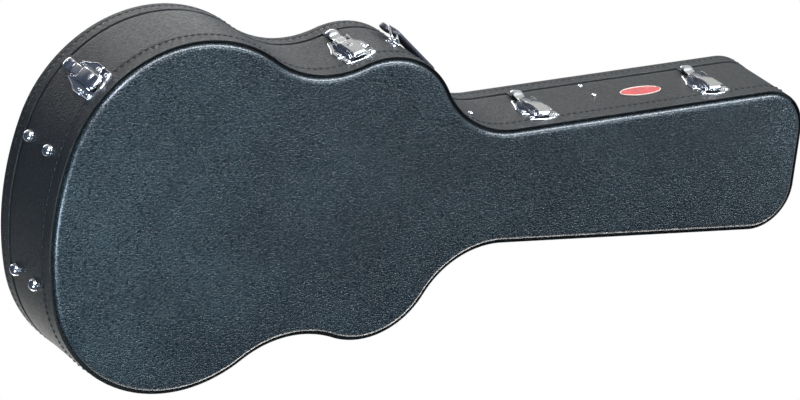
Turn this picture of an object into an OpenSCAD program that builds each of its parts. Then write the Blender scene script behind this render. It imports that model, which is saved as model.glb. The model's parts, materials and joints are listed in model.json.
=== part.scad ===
// Hardshell guitar case, closed, lying on the bottom of its deep tub with the lid up.
// X runs from the tail to the head, the latches face -Y, the hinges are on the +Y side.

/* [Outline] */
// Overall length of the case
case_length = 1080; // [980:5:1180]
// Width over the lower bout
lower_bout_w = 460; // [430:1:490]
// Radius of the lower bout's side
lower_bout_r = 176; // [160:1:190]
// Radius of the tail end
tail_r = 385; // [340:5:440]
// Width over the upper bout
upper_bout_w = 375; // [350:1:400]
// Radius of the upper bout
upper_bout_r = 102; // [90:1:115]
// Distance of the upper bout's widest place from the tail
upper_bout_from_tail = 449; // [430:1:470]
// Radius of the hollow waist
waist_r = 134; // [110:1:160]
// Radius of the hollow shoulder
shoulder_r = 115; // [95:1:135]
// Width of the neck box where it leaves the shoulder
neck_w = 149; // [135:1:165]
// Width of the neck box at the head end
head_w = 196; // [180:1:205]
// Radius of the head end's corners
head_corner_r = 58; // [45:1:70]

/* [Depth] */
// Overall depth of the closed case
case_depth = 138; // [128:1:160]
// Depth of the lid
lid_depth = 26; // [24:1:36]
// Gap between the tub and the lid
seam_gap = 0.3; // [0.2:0.05:0.5]

/* [Shell] */
// Thickness of the tub's bent plywood wall
tub_wall_t = 6; // [5:0.5:8]
// Play between the lid's wall and the lining band
lid_play = 0.6; // [0.4:0.1:1]
// Width of the rounded border round each big face
rim_w = 9; // [6:0.5:12]
// Height of the rounded border
rim_h = 6; // [4:0.5:8]
// Depth of the groove between border and wall
groove_depth = 2.4; // [1.5:0.1:3.5]
// Height of the groove
groove_h = 1.6; // [1:0.1:3]

/* [Lining] */
// Thickness of the lining band that rises into the lid
band_t = 2; // [1.5:0.5:3]
// Height of the band above the seam
band_rise = 7; // [4:0.5:10]
// Thickness of the floor lining
floor_pad_t = 5; // [3:0.5:8]
// Thickness of the padding round the body
body_pad_t = 16; // [10:1:20]
// Height of the padding round the body
body_pad_h = 88; // [70:1:90]
// Thickness of the lid's padding
lid_pad_t = 5; // [3:0.5:7]
// Clearance between pieces that are glued or set in place
set_gap = 0.15; // [0.1:0.05:0.3]

/* [Accessory box] */
// Distance of the body's partition from the tail
body_partition_from_tail = 604; // [598:1:615]
// Distance of the head's partition from the tail
head_partition_from_tail = 797; // [780:1:815]
// Thickness of the partitions
partition_t = 8; // [6:1:10]
// Height of the partition at the body, from the floor lining
body_partition_h = 61; // [50:1:66]
// Height of the partition at the head, from the floor lining
head_partition_h = 94; // [85:1:97]
// Width of the neck's saddle
saddle_w = 72; // [64:1:80]
// Height of the saddle's lowest place above the floor lining
saddle_floor = 68; // [68:1:76]
// Thickness of the saddle's pad
saddle_pad_t = 6; // [4:0.5:8]
// Thickness of the flap
flap_t = 5; // [4:0.5:6]
// Half width of the flap
flap_half_w = 60; // [54:1:62]
// Gap round the flap
flap_gap = 0.5; // [0.4:0.1:0.8]
// Height of the rail that carries the flap
rail_h = 12; // [8:1:16]
// Width of the pull tab
tab_w = 22; // [14:1:30]
// Length of the pull tab past the flap
tab_over = 7; // [4:0.5:8]
// Thickness of the pull tab
tab_t = 1.6; // [1:0.2:2.4]

/* [Latches] */
// Direction of the tail latch on the lower bout
tail_latch_angle = 137; // [127:1:145]
// Direction of the waist latch on the upper bout
waist_latch_angle = 109; // [104:1:110]
// Distance of the neck's latch from the tail
neck_latch_from_tail = 697; // [690:1:720]
// Distance of the head's latch from the head end
head_latch_from_head = 128; // [115:1:145]
// Length of the base plate
base_l = 68; // [64:1:72]
// Width of the base plate's foot
base_foot_w = 44; // [40:1:48]
// Width of the base plate over its wings
base_wing_w = 46; // [42:1:50]
// Thickness of the base plate
base_t = 1.6; // [1.2:0.1:2.2]
// Distance from the seam down to the lever's pivot
pivot_drop = 42; // [40:0.5:44]
// Height of the lever's pivot above the wall
pivot_out = 6.8; // [6.5:0.1:8]
// Distance between the two pivots of the lever
claw_crank = 8; // [7.5:0.1:9]
// Distance that the claw's pivot lies inside the line of pull
over_centre = 0.6; // [0.3:0.1:1]
// Thickness of the sheet metal
sheet_t = 1.4; // [1:0.1:1.6]
// Width of the claw
claw_w = 10; // [8:0.5:11]
// Clearance beside the claw and beside the lever
side_gap = 0.5; // [0.4:0.1:0.8]
// Width of the lever
lever_w = 19; // [17:0.5:21]
// Length of the lever below its pivot
lever_reach = 46; // [43:0.5:49]
// Diameter of the lever's pivot rivets
pivot_d = 3; // [2.4:0.1:3.4]
// Diameter of the claw's pin
claw_pin_d = 2.6; // [2:0.1:3]
// Running clearance of pins in their bores, on the radius
pin_gap = 0.05; // [0.02:0.01:0.08]
// Distance from the seam down to the strike's ledge
strike_drop = 17; // [15:0.5:18]
// Thickness of the strike
strike_t = 1.2; // [1:0.1:1.4]
// Reach of the strike's ledge from the wall
ledge_reach = 5; // [4.4:0.1:5.4]
// Clearance between the claw's lip and the ledge
lip_gap = 0.3; // [0.2:0.05:0.4]
// Width of the strike's tongue
strike_w = 11; // [9:0.5:12]
// Width of the strike's foot in the lid
strike_foot_w = 30; // [27:1:34]
// Diameter of the rivets' heads
rivet_head_d = 6; // [5:0.2:7]
// Diameter of the rivets' shanks
rivet_d = 3; // [2.4:0.1:3.2]

/* [Lock] */
// Diameter of the lock's plug
plug_d = 6; // [5:0.2:7]
// Diameter of the plug's face
plug_face_d = 8; // [7:0.2:9]
// Distance of the plug below the lever's pivot
plug_drop = 22; // [20:0.5:25]

/* [Handle] */
// Direction of the handle on the upper bout's shoulder
handle_angle = 48; // [48:1:54]
// Height of the handle's middle above the case's bottom
handle_z = 56; // [50:1:62]
// Length of the grip
grip_l = 122; // [106:1:124]
// Width of the grip
grip_w = 28; // [24:1:30]
// Thickness of the grip
grip_t = 10; // [8:0.5:11]
// Distance between the two loops
loop_spacing = 86; // [78:1:90]
// Distance from a loop's saddle to its bar in the grip
loop_reach = 22; // [20:0.5:24]
// Width of a loop between wire centres
loop_w = 16; // [14:0.5:18]
// Diameter of the loops' wire
wire_d = 3.2; // [2.6:0.1:3.6]
// Lean of the loops at rest, from standing straight out
loop_lean = 63; // [60:1:66]
// Depth of the saddles' eyes below the shoulder's crest
eye_drop = 4; // [3:0.5:5]
// Width of a saddle's plate across the wall
saddle_plate_w = 30; // [26:1:34]

/* [Hinges] */
// Length of a hinge
hinge_l = 46; // [40:1:52]
// Radius of the knuckles
knuckle_r = 3; // [2.6:0.1:3.2]
// Clearance between a knuckle and the wall
knuckle_gap = 0.4; // [0.3:0.05:0.6]
// Diameter of the hinge pin
hinge_pin_d = 3; // [2.4:0.1:3.4]
// Thickness of the leaves
leaf_t = 1.6; // [1.2:0.1:2]
// Height of the tub's leaf
tub_leaf_h = 22; // [18:1:26]
// Height of the lid's leaf
lid_leaf_h = 12; // [10:0.5:13]

/* [Feet, screws and badge] */
// Diameter of the tail's dome feet
foot_d = 16.5; // [14:0.5:19]
// Height of the dome feet
foot_h = 7.5; // [6:0.5:9]
// Direction of the feet from the tail's middle
foot_angle = 13; // [9:0.5:14]
// Height of the lower row of feet
foot_low_z = 50; // [44:1:56]
// Height of the upper row of feet
foot_high_z = 99; // [92:1:102]
// Diameter of the partition screws' heads
screw_head_d = 7; // [6:0.2:8]
// Length of the oval badge
badge_l = 60; // [50:1:66]
// Height of the oval badge
badge_h = 26; // [20:1:30]
// Width of the badge's rim
badge_rim_w = 1.8; // [1.2:0.1:2.5]
// Distance of the badge's middle from the head end
badge_from_head = 219; // [210:1:230]
// Height of the badge's middle
badge_z = 60; // [54:1:66]

/* [Hidden] */
$fn = 32;

leatherette = [0.17, 0.19, 0.22];
plush = [0.55, 0.35, 0.12];
chrome = [0.82, 0.83, 0.85];
red = [0.70, 0.10, 0.12];

// Heights
seam_z = case_depth - lid_depth;
tub_top = seam_z - seam_gap / 2;
lid_bottom = seam_z + seam_gap / 2;
panel_t = rim_h + groove_h;
lid_panel_z = case_depth - panel_t;
floor_z = panel_t + floor_pad_t;
inner_floor = floor_z + set_gap;
lid_wall_t = tub_wall_t - lid_play;
band_in = tub_wall_t + set_gap;
band_out = band_in + band_t;
lining_in = band_out + set_gap;

// Arcs of one half of the outline, seen on the +Y side: tail, lower bout, waist, upper bout,
// shoulder and head corner, each tangent to the next
half_l = case_length / 2;
lower_y = lower_bout_w / 2 - lower_bout_r;
tail_c = [tail_r - half_l, 0];
lower_c = [tail_c[0] - sqrt(pow(tail_r - lower_bout_r, 2) - lower_y * lower_y), lower_y];
upper_c = [upper_bout_from_tail - half_l, upper_bout_w / 2 - upper_bout_r];
bout_step = upper_c - lower_c;
bout_gap = norm(bout_step);
waist_along = (pow(lower_bout_r + waist_r, 2) - pow(upper_bout_r + waist_r, 2) + bout_gap * bout_gap)
    / (2 * bout_gap);
waist_off = sqrt(pow(lower_bout_r + waist_r, 2) - waist_along * waist_along);
bout_dir = bout_step / bout_gap;
waist_c = lower_c + waist_along * bout_dir + waist_off * [-bout_dir[1], bout_dir[0]];
// The neck's sides spread from its root to the head end
neck_from_tail = 600;
neck_root_x = neck_from_tail - half_l;
body_partition_x = body_partition_from_tail - half_l;
head_partition_x = head_partition_from_tail - half_l;
neck_slope = (head_w - neck_w) / 2 / (half_l - neck_root_x);
neck_tilt = atan(neck_slope);
neck_out = [-sin(neck_tilt), cos(neck_tilt)];
neck_dir = [cos(neck_tilt), sin(neck_tilt)];
root_to_upper = [neck_root_x, neck_w / 2] + shoulder_r * neck_out - upper_c;
root_along = root_to_upper * neck_dir;
shoulder_step = -root_along
    + sqrt(root_along * root_along - root_to_upper * root_to_upper + pow(upper_bout_r + shoulder_r, 2));
shoulder_c = upper_c + root_to_upper + shoulder_step * neck_dir;
corner_x = half_l - head_corner_r;
corner_c = [corner_x, neck_half(corner_x) - head_corner_r / cos(neck_tilt)];

function neck_half(x) = neck_w / 2 + neck_slope * (x - neck_root_x);
function heading(v) = atan2(v[1], v[0]);
function arc(c, r, a, b, n) = [for (i = [0 : n]) let (t = a + (b - a) * i / n) c + r * [cos(t), sin(t)]];

// One half of the outline, set inwards by d, from the tail to the head
function half_outline(d) = concat(
    arc(tail_c, tail_r - d, 180, heading(lower_c - tail_c), 3),
    arc(lower_c, lower_bout_r - d, heading(lower_c - tail_c), heading(waist_c - lower_c), 22),
    arc(waist_c, waist_r + d, 360 + heading(lower_c - waist_c), 360 + heading(upper_c - waist_c), 12),
    arc(upper_c, upper_bout_r - d, heading(waist_c - upper_c), heading(shoulder_c - upper_c), 14),
    arc(shoulder_c, shoulder_r + d, 360 + heading(upper_c - shoulder_c), 270 + neck_tilt, 10),
    arc(corner_c, head_corner_r - d, 90 + neck_tilt, 0, 12)
);

// Neighbouring arcs share their end point, which is kept once
function thin(p) = [for (i = [0 : len(p) - 1]) if (i == 0 || norm(p[i] - p[i - 1]) > 0.01) p[i]];
function outline(d) = let (h = thin(half_outline(d)), n = len(h))
    concat([for (i = [n - 1 : -1 : 0]) h[i]], [for (i = [1 : n - 1]) [h[i][0], -h[i][1]]]);

// Straight prism over the outline
module slab(d, z0, z1) {
    translate([0, 0, z0])
        linear_extrude(z1 - z0)
            polygon(outline(d));
}

// Wall that follows the outline between two insets
module ring(d0, d1, z0, z1) {
    translate([0, 0, z0])
        linear_extrude(z1 - z0)
            difference() {
                polygon(outline(d0));
                polygon(outline(d1));
            }
}

// Solid whose section, a closed loop of insets and heights, runs once round the outline
module outline_loft(section) {
    n = len(outline(0));
    m = len(section);
    points = [for (s = section) for (p = outline(s[0])) [p[0], p[1], s[1]]];
    faces = [for (k = [0 : m - 1]) for (i = [0 : n - 1])
        let (j = (i + 1) % n, a = k * n, b = (k + 1) % m * n)
        each [[a + i, b + j, a + j], [a + i, b + i, b + j]]];
    polyhedron(points, faces);
}

// Big face with a rounded border and the groove above it, face down at z = 0
module face_panel() {
    steps = 5;
    lap = 1;
    edge = groove_depth / 3 + rim_w;
    border = [for (i = [0 : steps]) let (a = 90 * i / steps)
        [edge - rim_w * sin(a), rim_h * (1 - cos(a))]];
    outline_loft(concat(border, [[groove_depth, panel_t], [edge + lap, panel_t], [edge + lap, 0]]));
    slab(edge, 0, panel_t);
}

// Frame on the latch side's wall: x along the wall, y outwards, z up
module on_wall(p) {
    translate([p[0][0], p[0][1], 0])
        rotate(p[1] - 90)
            children();
}

// Places on the latch side's wall: point and outward direction
function arc_place(c, r, a) = [[c[0] + r * cos(a), -c[1] - r * sin(a)], -a];
function neck_place(x) = [[x, -neck_half(x)], -90 - neck_tilt];
tail_latch = arc_place(lower_c, lower_bout_r, tail_latch_angle);
waist_latch = arc_place(upper_c, upper_bout_r, waist_latch_angle);
neck_latch = neck_place(neck_latch_from_tail - half_l);
head_latch = neck_place(half_l - head_latch_from_head);
latches = [tail_latch, waist_latch, neck_latch, head_latch];
handle_place = arc_place(upper_c, upper_bout_r, handle_angle);
badge_place = neck_place(half_l - badge_from_head);

// Fasteners through a wall
rivet_len = base_t + tub_wall_t - 1;
rivet_fit = 0.05;

module rivet(head_d, out, shank) {
    head_h = head_d * 0.36;
    ball_r = (head_d * head_d / 4 + head_h * head_h) / (2 * head_h);
    translate([0, out, 0])
        rotate([-90, 0, 0]) {
            intersection() {
                translate([0, 0, head_h - ball_r])
                    sphere(ball_r);
                cylinder(d = head_d + 1, h = head_h + 1);
            }
            translate([0, 0, -shank])
                cylinder(d = rivet_d, h = shank + 0.2);
        }
}

module rivet_hole(out, shank) {
    translate([0, out - shank - 0.2, 0])
        rotate([-90, 0, 0])
            cylinder(d = rivet_d + 2 * rivet_fit, h = shank + 10);
}

// Shell of the tub
module tub_bottom_panel() {
    color(leatherette)
        face_panel();
}

// Keeps the hinge side (1) or the latch side (-1); the halves butt at the tail and at the head
module half_case(side) {
    intersection() {
        children();
        translate([-case_length, side > 0 ? 0 : -case_length, 0])
            cube([2 * case_length, case_length, 2 * case_depth]);
    }
}

// Bent side wall, one half
module tub_wall(side) {
    color(leatherette)
        half_case(side)
            difference() {
                ring(0, tub_wall_t, panel_t, tub_top);
                tub_fastener_holes();
            }
}

module tub_fastener_holes() {
    for (p = latches)
        on_wall(p)
            at_latch_rivets()
                rivet_hole(base_t, rivet_len);
    for (p = foot_places)
        on_wall(p)
            at_foot_rows()
                rivet_hole(0, tub_wall_t - 1);
    at_partition_screws()
        rivet_hole(0, screw_len);
    on_wall(handle_place)
        at_saddle_rivets()
            rivet_hole(saddle_top, saddle_shank);
    for (h = hinge_places)
        at_hinge(h)
            at_leaf_rivets(h, -1)
                rivet_hole(leaf_t, leaf_t + tub_wall_t - 1);
}

// Dome feet on the tail
foot_places = [
    [tail_c + tail_r * [-cos(foot_angle), sin(foot_angle)], 180 - foot_angle],
    [tail_c + tail_r * [-cos(foot_angle), -sin(foot_angle)], 180 + foot_angle]
];

module at_foot_rows() {
    for (z = [foot_low_z, foot_high_z])
        translate([0, 0, z])
            children();
}

module butt_feet() {
    ball_r = (foot_d * foot_d / 4 + foot_h * foot_h) / (2 * foot_h);
    color(chrome)
        for (p = foot_places)
            on_wall(p)
                at_foot_rows()
                    rotate([-90, 0, 0]) {
                        translate([0, 0, set_gap])
                            intersection() {
                                translate([0, 0, foot_h - ball_r])
                                    sphere(ball_r);
                                cylinder(d = foot_d + 1, h = foot_h + 1);
                            }
                        translate([0, 0, 1 - tub_wall_t])
                            cylinder(d = rivet_d, h = tub_wall_t);
                    }
}

// Lining of the tub
module tub_band(side) {
    color(plush)
        half_case(side)
            difference() {
                ring(band_in, band_out, inner_floor, seam_z + band_rise);
                at_partition_screws()
                    rivet_hole(0, screw_len);
            }
}

module tub_floor_lining() {
    color(plush)
        slab(tub_wall_t + set_gap, panel_t, floor_z);
}

module tub_padding(side) {
    color(plush)
        half_case(side)
            intersection() {
                ring(lining_in, lining_in + body_pad_t, inner_floor, inner_floor + body_pad_h);
                translate([-case_length, -case_length, 0])
                    cube([case_length + body_partition_x - partition_t / 2 - set_gap, 2 * case_length, case_depth]);
            }
}

// Accessory box under the neck
screw_bite = 12;
screw_len = lining_in + screw_bite;
box_x0 = body_partition_x + partition_t / 2;
box_x1 = head_partition_x - partition_t / 2;
flap_z = inner_floor + body_partition_h + set_gap;

module board(x, h) {
    intersection() {
        slab(lining_in, inner_floor, inner_floor + h);
        translate([x - partition_t / 2, -case_length / 2, 0])
            cube([partition_t, case_length, case_depth]);
    }
}

// The three screws on each side that hold the partitions
low_screw_z = inner_floor + 0.64 * body_partition_h;
head_screw_zs = [inner_floor + 0.59 * head_partition_h, inner_floor + head_partition_h - 6];

module at_partition_screws() {
    for (side = [-1, 1])
        for (s = concat([[body_partition_x, low_screw_z]], [for (z = head_screw_zs) [head_partition_x, z]]))
            translate([s[0], side * (outline_half(s[0]) + screw_lift(s[0])), s[1]])
                rotate(side < 0 ? 180 : 0)
                    children();
}

// Half width of the case at a place on the shoulder or the neck
function outline_half(x) = x < shoulder_c[0] + shoulder_r * sin(neck_tilt)
    ? shoulder_c[1] - sqrt(shoulder_r * shoulder_r - pow(x - shoulder_c[0], 2))
    : neck_half(x);

// Height of a screw's seat, so that its head clears the sloping wall
function screw_lift(x) = set_gap + abs(outline_half(x - screw_head_d / 2) - outline_half(x + screw_head_d / 2)) / 2;

module partition_screws() {
    color(chrome)
        at_partition_screws()
            rivet(screw_head_d, 0, screw_len);
}

module body_partition() {
    color(plush)
        difference() {
            board(body_partition_x, body_partition_h);
            at_partition_screws()
                rivet_hole(0, screw_len);
        }
}

saddle_z = inner_floor + saddle_floor;

module saddle_cut(grow) {
    translate([0, 0, saddle_z + saddle_w / 2]) {
        rotate([0, 90, 0])
            cylinder(d = saddle_w + 2 * grow, h = 4 * partition_t, center = true);
        translate([0, 0, case_depth / 2])
            cube([4 * partition_t, saddle_w + 2 * grow, case_depth], center = true);
    }
}

module head_partition() {
    color(plush)
        difference() {
            board(head_partition_x, head_partition_h);
            translate([head_partition_x, 0, 0])
                saddle_cut(0);
            at_partition_screws()
                rivet_hole(0, screw_len);
        }
}

// Soft pad that lines the saddle
module neck_cradle_pad() {
    color(plush)
        translate([head_partition_x, 0, 0])
            intersection() {
                difference() {
                    saddle_cut(-set_gap);
                    saddle_cut(-saddle_pad_t);
                }
                translate([-partition_t / 2, -case_length / 2, 0])
                    cube([partition_t, case_length, inner_floor + head_partition_h]);
            }
}

// Rail on the hinge side that carries the flap
module flap_rail() {
    color(plush)
        intersection() {
            slab(lining_in, flap_z - rail_h, flap_z - set_gap);
            translate([box_x0 + set_gap, flap_half_w - 4, 0])
                cube([box_x1 - box_x0 - 2 * set_gap, case_length, case_depth]);
        }
}

module compartment_flap() {
    color(plush)
        translate([box_x0 + flap_gap - partition_t, -flap_half_w, flap_z])
            cube([box_x1 - box_x0 - 2 * flap_gap + partition_t, 2 * flap_half_w, flap_t]);
}

module flap_pull_tab() {
    color(leatherette)
        translate([(box_x0 + box_x1 - tab_w) / 2, -flap_half_w - tab_over, flap_z + flap_t])
            cube([tab_w, tab_over + tab_w, tab_t]);
}

// Plain oval badge on the neck
function oval(l, h) = [for (i = [0 : 47]) [l / 2 * cos(i * 7.5), h / 2 * sin(i * 7.5)]];

module badge_body(l, h, cut, t) {
    on_wall(badge_place)
        translate([0, set_gap, badge_z])
            rotate([-90, 0, 0])
                linear_extrude(t)
                    difference() {
                        polygon(oval(l, h));
                        if (cut > 0)
                            polygon(oval(l - 2 * cut, h - 2 * cut));
                    }
}

module badge_plate() {
    color(red)
        badge_body(badge_l - 2 * badge_rim_w - 0.2, badge_h - 2 * badge_rim_w - 0.2, 0, 1.2);
}

module badge_rim() {
    color(chrome)
        badge_body(badge_l, badge_h, badge_rim_w, 1.8);
}

// Latches
pivot_z = seam_z - pivot_drop;
claw_z = pivot_z - claw_crank;
claw_out = pivot_out - over_centre;
ledge_z = seam_z - strike_drop;
base_over = 15;
base_top = pivot_z + base_over;
base_bottom = base_top - base_l;
lever_half = lever_w / 2;
lever_in = lever_half - sheet_t;
ear_in = lever_half + side_gap;
ear_half = ear_in + sheet_t;
lever_top_out = pivot_out + 3.4;
lever_eye_r = 4;
wing_rivet_in = 6.5;
foot_rivet_in = 5.5;
wing_rivet_up = 30;
foot_rivet_up = 9.5;
wing_rivet = [base_wing_w / 2 - wing_rivet_in, base_bottom + wing_rivet_up];
foot_rivet = [base_foot_w / 2 - foot_rivet_in, base_bottom + foot_rivet_up];
ear_foot = 16;
rail_out = 5;

module at_latch_rivets() {
    for (s = [-1, 1])
        for (r = [wing_rivet, foot_rivet])
            translate([s * r[0], 0, r[1]])
                children();
}

// Plate with a bowed foot, a notch and a wing on each side and a narrow top, its back cut to the wall
foot_bow = 6.5;
notch_up = 21.5;
notch_half = 14;
lobe_slope = 3.5;
wing_up = 41;
shoulder_up = 50;
shoulder_in = 4.5;
top_half = 13;

function base_side() = [
    [base_foot_w / 2, base_bottom + notch_up - lobe_slope], [notch_half, base_bottom + notch_up],
    [base_wing_w / 2, base_bottom + notch_up + lobe_slope], [base_wing_w / 2, base_bottom + wing_up],
    [base_wing_w / 2 - shoulder_in, base_bottom + shoulder_up], [top_half, base_top]
];

module base_plan() {
    side = base_side();
    n = len(side);
    foot = [for (i = [0 : 12]) let (t = i / 6 - 1) [base_foot_w / 2 * t, base_bottom + foot_bow * t * t]];
    polygon(concat(foot, side, [for (i = [n - 1 : -1 : 0]) [-side[i][0], side[i][1]]]));
}

module latch_base(p) {
    color(chrome)
        difference() {
            on_wall(p)
                union() {
                    translate([0, base_t, 0])
                        rotate([90, 0, 0])
                            linear_extrude(base_t + 4)
                                base_plan();
                    for (s = [-1, 1])
                        latch_ear(s);
                }
            slab(-set_gap / 3, 0, case_depth);
            on_wall(p) {
                at_latch_rivets()
                    rivet_hole(base_t, rivet_len);
                translate([0, pivot_out, pivot_z])
                    rotate([0, 90, 0])
                        cylinder(d = pivot_d + 2 * rivet_fit, h = 4 * ear_half, center = true);
            }
        }
}

// Upright ear beside the lever, round about the pivot
module latch_ear(s) {
    translate([s > 0 ? ear_in : -ear_half, 0, 0])
        rotate([90, 0, 90])
            linear_extrude(sheet_t) {
                translate([pivot_out, pivot_z])
                    circle(lever_eye_r);
                translate([base_t - 0.5, pivot_z - lever_eye_r])
                    square([pivot_out - base_t + 0.5, 2 * lever_eye_r]);
                translate([base_t - 0.5, base_bottom + ear_foot])
                    square([rail_out - base_t + 0.5, pivot_z - base_bottom - ear_foot]);
            }
}

// Side view of the lever: y is outwards and x is height, finger end rounded and sloped
function lever_side() = [
    [pivot_z - lever_reach, base_t + 0.8], [pivot_z - lever_reach - 1.5, base_t + 3],
    [pivot_z - lever_reach, lever_top_out - 3.4], [pivot_z - lever_reach + 4, lever_top_out - 0.6],
    [pivot_z - lever_reach + 8, lever_top_out], [claw_z - 5, lever_top_out],
    [claw_z - 1, pivot_out + lever_eye_r - 0.6], [pivot_z, pivot_out + lever_eye_r - 0.6],
    [pivot_z, pivot_out - lever_eye_r + 0.6], [claw_z, base_t + 0.8]
];

module latch_lever(p) {
    color(chrome)
        on_wall(p)
            difference() {
                rotate([90, 0, 90])
                    linear_extrude(2 * lever_half, center = true) {
                        polygon([for (q = lever_side()) [q[1], q[0]]]);
                        translate([pivot_out, pivot_z])
                            circle(lever_eye_r - 0.6);
                    }
                lever_hollow();
                lever_bores();
            }
}

// The lever is a channel: open towards the wall, and above the claw's pin also outwards
module lever_hollow() {
    translate([-lever_in, -10, pivot_z - lever_reach + 5])
        cube([2 * lever_in, lever_top_out + 10 - sheet_t, claw_z - 5 - pivot_z + lever_reach]);
    translate([-lever_in, -10, claw_z - 5])
        cube([2 * lever_in, 4 * lever_top_out, claw_crank + 2 * lever_top_out]);
}

module lever_bores() {
    translate([0, pivot_out, pivot_z])
        rotate([0, 90, 0])
            cylinder(d = pivot_d + 2 * pin_gap, h = 4 * ear_half, center = true);
    at_claw_pin()
        cylinder(d = claw_pin_d + 2 * rivet_fit, h = 4 * ear_half, center = true);
}

module latch_claw_pin(p) {
    color(chrome)
        on_wall(p)
            at_claw_pin()
                cylinder(d = claw_pin_d, h = 2 * lever_half, center = true);
}

// Claw: an eye on the pin, a strap, and a rounded hood whose lip lies over the strike's ledge
claw_t = 1.4;
lip_z = ledge_z + strike_t + lip_gap;
hood_top = lip_z + 2.6;
hood_out = claw_out + 2;
lip_in = 2.3;
claw_eye_r = 2.7;

function claw_side() = [
    [claw_out - claw_t / 2, claw_z], [claw_out - claw_t / 2, ledge_z - 7.4],
    [hood_out - claw_t, ledge_z - 4], [hood_out - claw_t, lip_z], [lip_in, lip_z],
    [lip_in, lip_z + 1.2], [hood_out - 3.2, hood_top], [hood_out - 1.4, hood_top - 0.5],
    [hood_out - 0.3, hood_top - 1.7], [hood_out, lip_z], [hood_out, ledge_z - 4.6],
    [claw_out + claw_t / 2, ledge_z - 8.4], [claw_out + claw_t / 2, claw_z]
];

module latch_claw(p) {
    color(chrome)
        on_wall(p)
            difference() {
                union() {
                    rotate([90, 0, 90])
                        linear_extrude(claw_w, center = true)
                            polygon(claw_side());
                    at_claw_pin()
                        cylinder(r = claw_eye_r, h = 2 * (lever_in - side_gap), center = true);
                }
                at_claw_pin()
                    cylinder(d = claw_pin_d + 2 * pin_gap, h = 3 * lever_w, center = true);
            }
}

// Axis of the claw's pin, along the wall
module at_claw_pin() {
    translate([0, claw_out, claw_z])
        rotate([0, 90, 0])
            children();
}

// Stub rivets through ear and lever side, with a flat head outside
module latch_pivot_rivets() {
    color(chrome)
        for (p = latches)
            on_wall(p)
                for (s = [-1, 1])
                    translate([0, pivot_out, pivot_z])
                        rotate([0, 90 * s, 0]) {
                            translate([0, 0, lever_in - 0.2])
                                cylinder(d = pivot_d, h = ear_half - lever_in + 0.6);
                            translate([0, 0, ear_half + set_gap])
                                cylinder(d = pivot_d + 2.4, h = 1);
                        }
}

module latch_rivets() {
    color(chrome)
        for (p = latches)
            on_wall(p)
                at_latch_rivets()
                    rivet(rivet_head_d, base_t + set_gap, rivet_len + set_gap);
}

// Key plug in the waist latch's lever, with a slot across its face
plug_z = pivot_z - plug_drop;
plug_face_h = 1;

module plug_bore() {
    on_wall(waist_latch)
        translate([0, lever_top_out - 3 * sheet_t, plug_z])
            rotate([-90, 0, 0])
                cylinder(d = plug_d + 2 * pin_gap, h = 6 * sheet_t);
}

module waist_latch_lever() {
    difference() {
        latch_lever(waist_latch);
        plug_bore();
    }
}

module lock_plug() {
    color(chrome)
        on_wall(waist_latch)
            translate([0, lever_top_out, plug_z])
                difference() {
                    rotate([-90, 0, 0]) {
                        translate([0, 0, -sheet_t - 2])
                            cylinder(d = plug_d, h = sheet_t + 2.5);
                        translate([0, 0, 0.3])
                            cylinder(d = plug_face_d, h = plug_face_h);
                        translate([-1, -plug_d / 2, -sheet_t - 3.6])
                            cube([2, plug_d, 1.7]);
                    }
                    translate([-0.5, -sheet_t, -plug_d * 0.34])
                        cube([1, 2 * sheet_t + 3, plug_d * 0.68]);
                }
}

// Strikes: a foot let into the lid wall's edge, and a tongue with a ledge over the tub's wall
tongue_out = 0.5;
foot_in = lid_wall_t - 0.5;

module strike(p) {
    color(chrome)
        on_wall(p)
            difference() {
                union() {
                    translate([-strike_w / 2, tongue_out, ledge_z])
                        cube([strike_w, strike_t, lid_bottom + strike_t - ledge_z]);
                    translate([-strike_w / 2, tongue_out, ledge_z])
                        cube([strike_w, ledge_reach - tongue_out, strike_t]);
                    translate([-strike_w / 2, -foot_in, lid_bottom])
                        cube([strike_w, foot_in + tongue_out + strike_t, strike_t]);
                    translate([-strike_foot_w / 2, -foot_in, lid_bottom])
                        cube([strike_foot_w, foot_in - 1.8, strike_t]);
                }
                at_strike_screws()
                    cylinder(d = strike_screw_d + 0.1, h = 4 * strike_screw_l, center = true);
            }
}

strike_screw_d = 2.2;
strike_screw_l = 9;

module at_strike_screws() {
    for (s = [-1, 1])
        translate([s * (strike_foot_w / 2 - 4.5), -foot_in / 2 - 0.9, lid_bottom])
            children();
}

module strike_pocket(p) {
    on_wall(p) {
        translate([-strike_w / 2 - set_gap, -2 * lid_wall_t, lid_bottom - 1])
            cube([strike_w + 2 * set_gap, 3 * lid_wall_t, 1 + strike_t + set_gap]);
        translate([-strike_foot_w / 2 - set_gap, -2 * lid_wall_t, lid_bottom - 1])
            cube([strike_foot_w + 2 * set_gap, 2 * lid_wall_t - 1.5, 1 + strike_t + set_gap]);
        at_strike_screws()
            cylinder(d = strike_screw_d + 0.1, h = strike_screw_l + 0.3);
    }
}

module strike_screws() {
    color(chrome)
        for (p = latches)
            on_wall(p)
                at_strike_screws()
                    cylinder(d = strike_screw_d, h = strike_screw_l);
}

// Lid
module lid_top_panel() {
    color(leatherette)
        translate([0, 0, case_depth])
            rotate([180, 0, 0])
                face_panel();
}

module lid_side_wall() {
    color(leatherette)
        difference() {
            ring(0, lid_wall_t, lid_bottom, lid_panel_z);
            for (p = latches)
                strike_pocket(p);
            for (h = hinge_places)
                at_hinge(h)
                    at_leaf_rivets(h, 1)
                        rivet_hole(leaf_t, leaf_t + lid_wall_t - 1);
        }
}

module lid_padding() {
    color(plush)
        slab(lining_in, lid_panel_z - lid_pad_t, lid_panel_z);
}

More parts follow.
